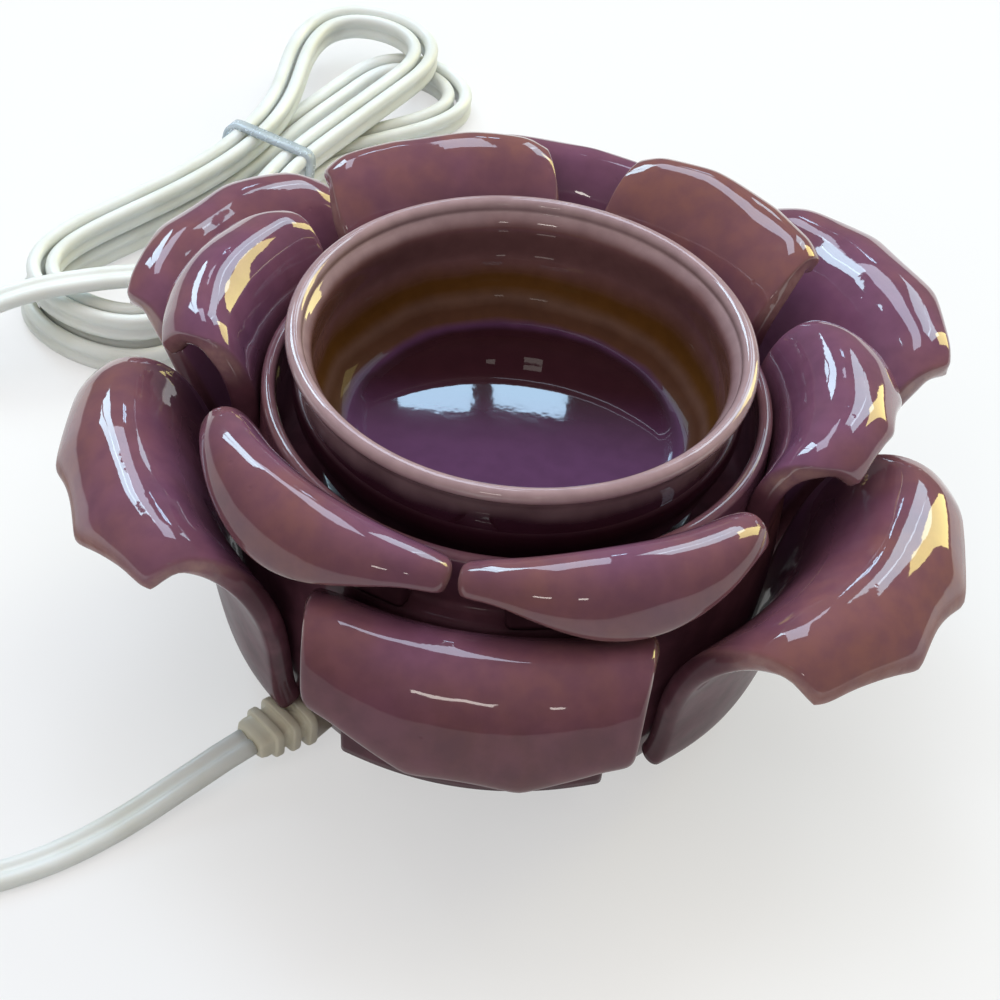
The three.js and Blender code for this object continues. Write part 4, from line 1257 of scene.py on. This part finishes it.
@dataclass
class Plug:
    """The two-blade plug at the end of the cord, lying flat behind the flower."""

    place: Handle = (-2.0, 161.0)
    turn: float = -30.0
    length: float = 32.0
    swell_start: float = 6.3
    swell_length: float = 13.5
    width: float = 25.0
    height: float = 19.0
    tail_width: float = 12.0
    tail_height: float = 10.0
    grips: int = 5
    grip_start: float = 10.0
    grip_end: float = 27.5
    grip_depth: float = 0.45
    grip_depth_above: float = 0.18
    face_round: float = 1.6
    face_drop: float = 0.07
    tail_round: float = 1.2
    tail_drop: float = 0.12
    sections: int = 97
    steps: int = 56
    square: float = 4.0

    def stations(self) -> list[tuple[float, float, float]]:
        """The sections, from the cord to the face.

        Returns:
            Place, half width and half height of each section.
        """
        made = []
        for x in np.linspace(0.0, self.length, self.sections):
            swell = float(smooth((x - self.swell_start) / self.swell_length))
            wide = self.tail_width / 2 + (self.width - self.tail_width) / 2 * swell
            tall = self.tail_height / 2 + (self.height - self.tail_height) / 2 * swell
            rounded = 1.0 - self.face_drop * max(0.0, (x - self.length) / self.face_round + 1) ** 2
            rounded *= 1.0 - self.tail_drop * max(0.0, 1 - x / self.tail_round) ** 2
            along = np.clip((x - self.grip_start) / (self.grip_end - self.grip_start), 0.0, 1.0)
            grip = max(0.0, math.sin(2 * math.pi * self.grips * along))
            wide = wide * rounded - self.grip_depth * grip
            tall = tall * rounded - self.grip_depth_above * grip
            made.append((float(x), wide, tall))
        return made

    def build(self, finishes: Finishes) -> list[bpy.types.Object]:
        """Make the plug's body and dress its blades.

        Args:
            finishes: the materials.

        Returns:
            The body and the two blades.
        """
        shape = turned_about(self.turn, loft(self.stations(), self.steps, self.square))
        shape += np.array([*self.place, self.height / 2])
        piece = Skin().tube(shape).piece("moulded_plug")
        body = finishes.put_on(piece, Slot.IVORY, stands_for=("plug_body",))
        return [body, *(finishes.dress(f"plug_blade_{i}", Slot.BRASS, 0.3) for i in (1, 2))]


@dataclass
class InlineSwitch:
    """The rocker switch on the cord."""

    shells: tuple[str, ...] = ("switch_base", "switch_cover")
    metal: tuple[str, ...] = ("rocker_pin", "switch_screw_1", "switch_screw_2")
    contacts: tuple[str, ...] = ("switch_contact_1", "switch_contact_2")

    def build(self, finishes: Finishes) -> list[bpy.types.Object]:
        """Dress the switch's nodes.

        Args:
            finishes: the materials.

        Returns:
            The nodes' objects.
        """
        made = [finishes.dress(node, Slot.IVORY, 1.1) for node in self.shells]
        made.append(finishes.dress("switch_rocker", Slot.IVORY, 0.5))
        made += [finishes.dress(node, Slot.ZINC, 0.2) for node in self.metal]
        made += [finishes.dress(node, Slot.BRASS, 0.15) for node in self.contacts]
        return made


# Ceramics


@dataclass(frozen=True)
class Petal:
    """One petal: a bent slab that grows along a spine and opens sideways, with a pointed scalloped edge."""

    name: str
    azimuth: float
    spine: tuple[Handle, ...]
    half: float
    tip_half: float
    cup: float
    root_half: float
    scallop: float
    lens: float
    round_off: float
    bow: float
    phase: float
    skew: float = 0.0
    points: int = 3
    thickness: float = 5.0
    edge: float = 5.8
    ripple: float = 0.45
    columns: int = 54
    rows: int = 44
    nose: int = 6
    side_nose: float = 0.07
    tip_nose: float = 0.045
    point_round: float = 0.02
    point_level: float = 0.14
    widest: float = 0.6
    roll: float = 2.0
    roll_side: float = 0.3
    roll_tip: float = 0.16
    thin_band: float = 0.5
    tone: float = 0.5
    tone_fade: float = 0.9
    tone_place: float = 0.8
    # Reach and strength of the painted shade: from the root, along the edges, on the underside and on the
    # tip.
    shade: float = 0.36
    edge_shade: float = 0.5
    edge_shade_band: float = 1.25
    under_shade_band: float = 1.2
    shade_fade: float = 0.22
    dull_reach: float = 0.0
    tip_shade: float = 0.0
    tip_shade_start: float = 0.72
    tip_shade_fade: float = 0.2

    def spread(self) -> tuple[np.ndarray, np.ndarray]:
        """Places across and along the petal, closer together at the rounded edge.

        Returns:
            The places across by column, and along by row.
        """
        bend = 1.0 - np.cos(np.linspace(0.0, math.pi / 2, self.nose, endpoint=False))
        side = 1.0 - self.side_nose * bend
        tip = 1.0 - self.tip_nose * bend
        flank = 1.0 - self.side_nose
        across = np.concatenate([-side, np.linspace(-flank, flank, self.columns), side[::-1]])
        along = np.concatenate([np.linspace(0.0, 1.0 - self.tip_nose, self.rows), tip[::-1]])
        return across, along

    def middle(self, across: np.ndarray, along: np.ndarray) -> np.ndarray:
        """The middle surface.

        Args:
            across: from -1 to 1, by column.
            along: from 0 at the root to 1 at the tip, by row.

        Returns:
            Places on a last axis of three.
        """
        wave = np.sin(self.points * math.pi * (across + 1) / 2)
        scallop = self.scallop * (np.sqrt(wave**2 + self.point_round) - self.point_level)
        corners = self.lens * across**2 + self.round_off * across**4 + self.skew * across
        share = along * (1 - scallop - corners)
        spine = bezier(self.spine, share)
        swell = self.root_half + (self.half - self.root_half) * smooth(share / self.widest)
        taper = smooth((share - self.widest) / (1 - self.widest))
        half_width = swell - (self.half - self.tip_half) * taper
        sideways = across * half_width
        root_curve = 1 / self.spine[0][0]
        curve = root_curve + (self.bow - root_curve) * smooth(share * 1.2)
        side = np.sin(sideways * curve) / curve
        out = spine[..., 0] - (1 - np.cos(sideways * curve)) / curve
        slow = np.sin(2.3 * across + 5.0 * share + self.phase)
        quick = np.sin(5.1 * across - 3.0 * share + 2 * self.phase)
        ripple = self.ripple * (slow + 0.6 * quick)
        rolled_side = smooth((np.abs(across) - 1) / self.roll_side + 1) ** 2
        rolled = rolled_side + smooth((along - 1) / self.roll_tip + 1) ** 2
        lift = smooth(share * 1.1) * (self.cup * across**2 + ripple - self.roll * rolled)
        turn = math.radians(self.azimuth)
        x = out * math.sin(turn) + side * math.cos(turn)
        y = -out * math.cos(turn) + side * math.sin(turn)
        return np.stack([x, y, spine[..., 1] + lift], axis=-1)

    def normals(self, across: np.ndarray, along: np.ndarray) -> np.ndarray:
        """The way that the middle surface faces, which is towards the underside.

        Args:
            across: from -1 to 1, by column.
            along: from 0 at the root to 1 at the tip, by row.

        Returns:
            Unit vectors on a last axis of three.
        """
        step = 1e-3
        column = np.clip(across, step - 1, 1 - step)
        row = np.clip(along, step, 1 - step)
        sideways = self.middle(column + step, row) - self.middle(column - step, row)
        outwards = self.middle(column, row + step) - self.middle(column, row - step)
        normal = np.cross(sideways, outwards)
        return normal / np.linalg.norm(normal, axis=-1)[..., None]

    def half_thickness(self, across: np.ndarray, along: np.ndarray) -> np.ndarray:
        """Half the thickness, which swells a little to the edge and is rounded off there.

        Args:
            across: from -1 to 1, by column.
            along: from 0 at the root to 1 at the tip, by row.

        Returns:
            Half the thickness at each place.
        """
        from_side = np.clip((1 - np.abs(across)) / self.side_nose, 0.0, 1.0)
        from_tip = np.clip((1 - along) / self.tip_nose, 0.0, 1.0)
        nose = np.sqrt(1 - (1 - from_side) ** 2) * np.sqrt(1 - (1 - from_tip) ** 2)
        to_edge = np.maximum(np.abs(across) ** 6, along**8)
        return 0.5 * (self.thickness + (self.edge - self.thickness) * to_edge) * nose

    def build(self, finishes: Finishes) -> bpy.types.Object:
        """Make the petal as two skins that meet in a rounded edge.

        Args:
            finishes: the materials.

        Returns:
            The petal.
        """
        across, along = np.meshgrid(*self.spread())
        middle = self.middle(across, along)
        reach_out = self.normals(across, along) * self.half_thickness(across, along)[..., None]
        from_edge = np.minimum((1 - np.abs(across)) / self.side_nose, (1 - along) / self.tip_nose)
        thin = np.exp(-((from_edge / self.thin_band) ** 2))
        # Painted shade: the hollows at the root, reaching further along the edges, the lower lips set by
        # tip_shade, and the underside away from its rim are painted dark in place of the shade there.
        at_edge = np.exp(-((from_edge / self.edge_shade_band) ** 2))
        reach = self.shade + (self.edge_shade - self.shade) * at_edge
        root_shade = 1.0 - smooth((along - reach) / self.shade_fade + 1)
        at_tip = self.tip_shade * smooth((along - self.tip_shade_start) / self.tip_shade_fade)
        deep = np.maximum(root_shade, at_tip)
        dull = np.maximum(deep, 1.0 - smooth((along - reach - self.dull_reach) / self.shade_fade + 1))
        underside_shade = np.maximum(deep, smooth(from_edge / self.under_shade_band))
        tone = self.tone + self.tone_fade * (along - self.tone_place)
        skin = Skin()
        skin.grid(middle + reach_out, thin=thin, deep=underside_shade, dull=underside_shade, tone=tone)
        skin.grid(middle - reach_out, flip=True, thin=thin, deep=deep, dull=dull, tone=tone)
        upper = across.size
        skin.faces += [(i + 1, i, upper + i, upper + i + 1) for i in range(across.shape[1] - 1)]
        node = self.name.replace("glazed_", "")
        return finishes.put_on(skin.piece(self.name), Slot.GLAZE, stands_for=(node,))


@dataclass
class Flower:
    """Both rows of petals."""

    inner_root: Handle = (56.05, 58.3)
    outer_root: Handle = (57.4, 13.0)
    outer_rise: tuple[Handle, Handle] = ((62.5, 25.0), (62.0, 54.0))
    front_rise: tuple[Handle, Handle] = ((60.0, 30.0), (52.0, 74.0))
    inner_bow: float = 0.89 / 58.5
    outer_bow: float = 0.65 / 58.5
    inner_phase: Handle = (0.0, 1.7)
    outer_phase: Handle = (0.8, 2.3)
    inner_tones: tuple[float, ...] = (0.82, 0.95, 0.35, 0.58, 0.55, 0.5)
    outer_tones: tuple[float, ...] = (0.55, 0.62, 0.3, 0.25, 0.35, 0.55)

    def grow(
        self, name: str, rows: Sequence[tuple], bow: float, phase: Handle, tones: Sequence[float]
    ) -> list[Petal]:
        """Make the petals of one row.

        Args:
            name: what they are called, before a number.
            rows: azimuth, spine, cup, half width, half width at the tip and edge of each petal.
            bow: how tightly they bend round the flower, as one over a radius.
            phase: where the first one's ripple starts, and the step from each to the next.
            tones: how far each one leans from purple to rose.

        Returns:
            The petals, in the same order.
        """
        made = []
        for i, ((azimuth, spine, cup, half, tip_half, edge), tone) in enumerate(zip(rows, tones)):
            own = {"bow": bow, "phase": phase[0] + phase[1] * i, "tone": tone}
            made.append(Petal(f"{name}_{i + 1}", azimuth, spine, half, tip_half, cup, **edge, **own))
        return made

    def inner(self) -> list[Petal]:
        """The petals round the collar; the two in front are rolled like lenses.

        Returns:
            The petals, from the back left round by the right.
        """
        bent = {"scallop": 0.02, "lens": 0.0, "round_off": 0.06, "root_half": 23.0}
        # tip_shade paints shade on the lower lips of the two rolled petals, which face down.
        rolled = {"scallop": 0.0, "lens": 0.3, "round_off": 0.05, "root_half": 20.0, "tip_shade": 0.45}
        leaning = {**bent, "skew": -0.07}
        root = self.inner_root
        lens_spine = (root, (55.6, 76.5), (66.5, 91.0), (73.5, 70.7))
        rows = (
            (-160.5, (root, (57.0, 72.0), (67.0, 83.5), (75.5, 81.0)), -1.0, 26.5, 25.5, bent),
            (143.0, (root, (57.0, 72.0), (67.0, 86.0), (76.5, 82.0)), -1.0, 25.0, 24.0, bent),
            (88.0, (root, (56.0, 74.0), (64.0, 89.5), (78.0, 75.0)), -2.0, 24.0, 19.0, leaning),
            (22.5, lens_spine, -6.0, 32.5, 32.5, rolled),
            (-38.5, lens_spine, -6.0, 33.5, 33.5, rolled),
            (-105.0, (root, (56.0, 74.0), (64.0, 92.0), (74.5, 76.0)), -2.0, 25.0, 21.0, bent),
        )
        return self.grow("glazed_inner_petal", rows, self.inner_bow, self.inner_phase, self.inner_tones)

    def outer(self) -> list[Petal]:
        """The petals on the wall, which rise along it and open out above.

        Returns:
            The petals, from the front round by the right.
        """
        # shade, edge_shade and dull_reach set how far the painted shade and the dull glaze reach from the
        # root; tip_shade paints shade on the front petal's lower half.
        bent = {"scallop": 0.025, "lens": 0.02, "round_off": 0.07, "root_half": 25.0, "edge_shade": 0.88}
        open_side = {**bent, "shade": 0.22, "dull_reach": 0.36}
        broad = {**open_side, "root_half": 28.0}
        front = {**broad, "scallop": 0.014, "round_off": 0.06, "skew": -0.022}
        front |= {"shade": 0.36, "dull_reach": 0.0, "edge_shade": 0.6, "tip_shade": 0.75}
        front_stem = (self.outer_root, *self.front_rise)
        stem = (self.outer_root, *self.outer_rise)
        rows = (
            (-2.0, (*front_stem, (84.0, 77.0), (85.5, 43.5)), 0.0, 36.0, 33.0, front),
            (64.5, (*stem, (80.0, 82.0), (100.0, 54.0)), -2.0, 37.0, 34.0, broad),
            (124.0, (*stem, (85.0, 80.0), (101.0, 70.0)), -2.0, 33.8, 31.0, bent),
            (179.0, (*stem, (78.0, 82.0), (84.0, 73.0)), -2.0, 31.0, 28.5, bent),
            (-125.0, (*stem, (82.0, 76.5), (93.0, 68.0)), -2.0, 31.6, 28.7, bent),
            (-69.5, (*stem, (79.0, 85.0), (95.0, 57.0)), -2.0, 33.8, 31.0, open_side),
        )
        return self.grow("glazed_outer_petal", rows, self.outer_bow, self.outer_phase, self.outer_tones)

    def build(self, finishes: Finishes) -> None:
        """Make every petal."""
        for petal in [*self.inner(), *self.outer()]:
            petal.build(finishes)


@dataclass
class CeramicBody:
    """The foot, flared wall, shoulder, collar and deck, in one turned form."""

    wall: tuple[Handle, ...] = ((48.5, 1.2), (53.5, 10.2), (57.5, 21.2), (58.5, 43.0))
    wall_thickness: float = 4.5
    body_radius: float = 58.5
    shoulder_height: float = 58.0
    collar_radius: float = 53.6
    collar_wall: float = 3.0
    collar_top: float = 71.0
    deck_top: float = 47.5
    deck_bottom: float = 43.0
    deck_hole: float = 30.0
    easing: float = 1.6
    hole_easing: float = 0.6
    foot_paleness: float = 0.8
    foot_band: float = 2.4
    rim_paleness: float = 0.35
    rim_band: float = 1.2
    collar_from: float = 60.0
    collar_shade: float = 0.35
    tone: float = 0.4
    wobble: float = 0.25
    wall_rows: int = 24
    ease_rows: int = 6
    rim_rows: int = 11
    steps: int = 144

    def profile(self) -> np.ndarray:
        """The outline of the body's wall, from the foot over the collar and back inside.

        Returns:
            Radius and height of each point.
        """
        outside = bezier(self.wall, np.linspace(0.0, 1.0, self.wall_rows))
        inside = (outside - np.array([self.wall_thickness, 0.0]))[::-1]
        ease = self.easing
        lip = self.collar_wall / 2
        shoulder_middle = (self.body_radius - ease, self.shoulder_height - ease)
        shoulder = arc(shoulder_middle, ease, 0.0, 90.0, self.ease_rows)
        rim = arc((self.collar_radius - lip, self.collar_top - lip), lip, 0.0, 180.0, self.rim_rows)
        collar_inner = self.collar_radius - self.collar_wall
        root_middle = (self.collar_radius + ease, self.shoulder_height + ease)
        root = arc(root_middle, ease, 270.0, 180.0, self.ease_rows)
        deck = [
            (collar_inner, self.deck_top + ease),
            (collar_inner - ease, self.deck_top),
            (self.deck_hole + self.hole_easing, self.deck_top),
            (self.deck_hole, self.deck_top - self.hole_easing),
            (self.deck_hole, self.deck_bottom),
        ]
        return np.concatenate([outside, shoulder, root, rim, np.array(deck), inside, outside[:1]])

    def build(self, finishes: Finishes) -> bpy.types.Object:
        """Make the body.

        Args:
            finishes: the materials.

        Returns:
            The body.
        """
        profile = self.profile()
        height = profile[:, 1:]
        thin = np.where(np.abs(height - self.collar_top) < self.rim_band, self.rim_paleness, 0.0)
        thin = np.where(height < self.foot_band, self.foot_paleness, thin)
        # Painted shade: the whole wall below the collar is painted dark, and the collar partly.
        deep = np.where(height > self.collar_from, self.collar_shade, 1.0)
        tone = np.full_like(deep, self.tone)
        turned = lathe(profile, self.steps, self.wobble)
        skin = Skin().grid(turned, ring=True, thin=thin, deep=deep, dull=deep, tone=tone)
        return finishes.put_on(skin.piece("glazed_body"), Slot.GLAZE, stands_for=("flower_body",))


@dataclass
class WaxDish:
    """The lift-off dish, with a bellied wall under a rounded rim."""

    bottom: float = 50.3
    foot_radius: float = 34.0
    rim_radius: float = 49.0
    rim_top: float = 85.2
    rim_width: float = 3.6
    floor_height: float = 59.0
    outside: tuple[Handle, ...] = ((37.0, 51.8), (43.0, 59.7), (47.4, 71.2), (46.6, 79.4), (47.6, 81.6))
    inside: tuple[Handle, ...] = ((45.2, 82.6), (43.4, 80.1), (43.4, 71.3), (40.6, 63.2), (36.6, 59.7))
    floor_inset: float = 3.0
    rim_turn: Handle = (200.0, -20.0)
    foot_chamfer: Handle = (1.2, 0.4)
    levels: tuple[float, ...] = (0.0, 0.25, 0.5, 0.56, 1.0)
    wobble: float = 0.2
    floor_rows: int = 26
    wall_spacing: float = 0.6
    wall_start: int = 4
    rim_rows: int = 15
    outside_spacing: float = 0.8
    steps: int = 160

    def profile(self) -> np.ndarray:
        """Radius and height from the middle of the floor, up over the rim and down to the foot.

        Returns:
            One row for each point, with a level as a third column, which the glaze goes by: it rises
            from the first of the levels to the next on the floor, the wall, the rim and the outside.
        """
        floor_radius = self.inside[-1][0] - self.floor_inset
        radius = np.linspace(0.0, floor_radius, self.floor_rows)
        floor = np.stack([radius, np.full_like(radius, self.floor_height)], axis=1)
        knots = [*floor[-3:-1].tolist(), *self.inside[::-1]]
        wall = curve_through(knots, self.wall_spacing, axes=2)[self.wall_start :]
        half = self.rim_width / 2
        rim = arc((self.rim_radius - half, self.rim_top - half), half, *self.rim_turn, self.rim_rows)
        outside = curve_through(self.outside[::-1], self.outside_spacing, axes=2)
        aside, up = self.foot_chamfer
        edge = self.foot_radius
        foot = [(edge + aside, self.bottom + up), (edge, self.bottom), (0.0, self.bottom)]
        stretches = (floor[:-1], wall, rim, np.concatenate([outside, np.array(foot)]))
        rows = []
        for stretch, low, high in zip(stretches, self.levels, self.levels[1:]):
            steps = np.linalg.norm(np.diff(stretch, axis=0), axis=1)
            reach = np.concatenate([[0.0], np.cumsum(steps)]) / steps.sum()
            rows.append(np.column_stack([stretch, low + (high - low) * reach]))
        return np.concatenate(rows)

    def build(self, finishes: Finishes) -> bpy.types.Object:
        """Make the dish.

        Args:
            finishes: the materials.

        Returns:
            The dish.
        """
        profile = self.profile()
        turned = lathe(profile, self.steps, self.wobble)
        skin = Skin().grid(turned, ring=True, level=profile[:, 2:])
        return finishes.put_on(skin.piece("glazed_dish"), Slot.DISH_GLAZE, Body.DISH, ("wax_dish",))


@dataclass
class Works:
    """The heater, its wiring and the base, which keep their CAD shapes."""

    nodes: tuple[tuple[str, Slot, float], ...] = (
        ("heater_plate", Slot.ALUMINIUM, 0.3),
        ("heating_element", Slot.ELEMENT, 0.3),
        ("mica_disc", Slot.MICA, 0.1),
        ("heater_pan", Slot.ZINC, 0.2),
        ("fuse_clip", Slot.ZINC, 0.15),
        ("clamp_screw", Slot.ZINC, 0.2),
        ("thermal_fuse", Slot.BRASS, 0.3),
        ("heater_lead_neutral", Slot.SLEEVE, 0.1),
        ("heater_lead_live", Slot.SLEEVE, 0.1),
        ("fuse_lead", Slot.SLEEVE, 0.1),
        ("splice_neutral", Slot.SPLICE, 0.4),
        ("splice_live", Slot.SPLICE, 0.4),
        ("cord_core_neutral", Slot.SLEEVE, 0.1),
        ("cord_core_live", Slot.SLEEVE, 0.1),
        ("base_cover", Slot.BLACK, 0.4),
    )
    standoffs: int = 3
    feet: int = 4

    def build(self, finishes: Finishes) -> None:
        """Dress the nodes.

        Args:
            finishes: the materials.
        """
        for node, slot, bevel in self.nodes:
            finishes.dress(node, slot, bevel)
        for i in range(1, self.standoffs + 1):
            finishes.dress(f"standoff_{i}", Slot.ZINC, 0.2)
            finishes.dress(f"base_screw_{i}", Slot.ZINC, 0.15)
        for i in range(1, self.feet + 1):
            finishes.dress(f"rubber_foot_{i}", Slot.RUBBER, 0.5)


def main() -> None:
    """Build the camera, the cord, the studio, the ceramics and the works."""
    logging.basicConfig(level=logging.INFO, format="%(message)s")
    PhotoCamera().build()
    finishes = Finishes()
    flat_cord = FlatCord()
    cord, line = flat_cord.build(finishes)
    on_cord = [*Plug().build(finishes), *InlineSwitch().build(finishes), TwistTie().build(finishes)]
    Studio().build()
    StrainRelief().build(finishes)
    CeramicBody().build(finishes)
    Flower().build(finishes)
    WaxDish().build(finishes)
    Works().build(finishes)


if __name__ == "__main__":
    main()
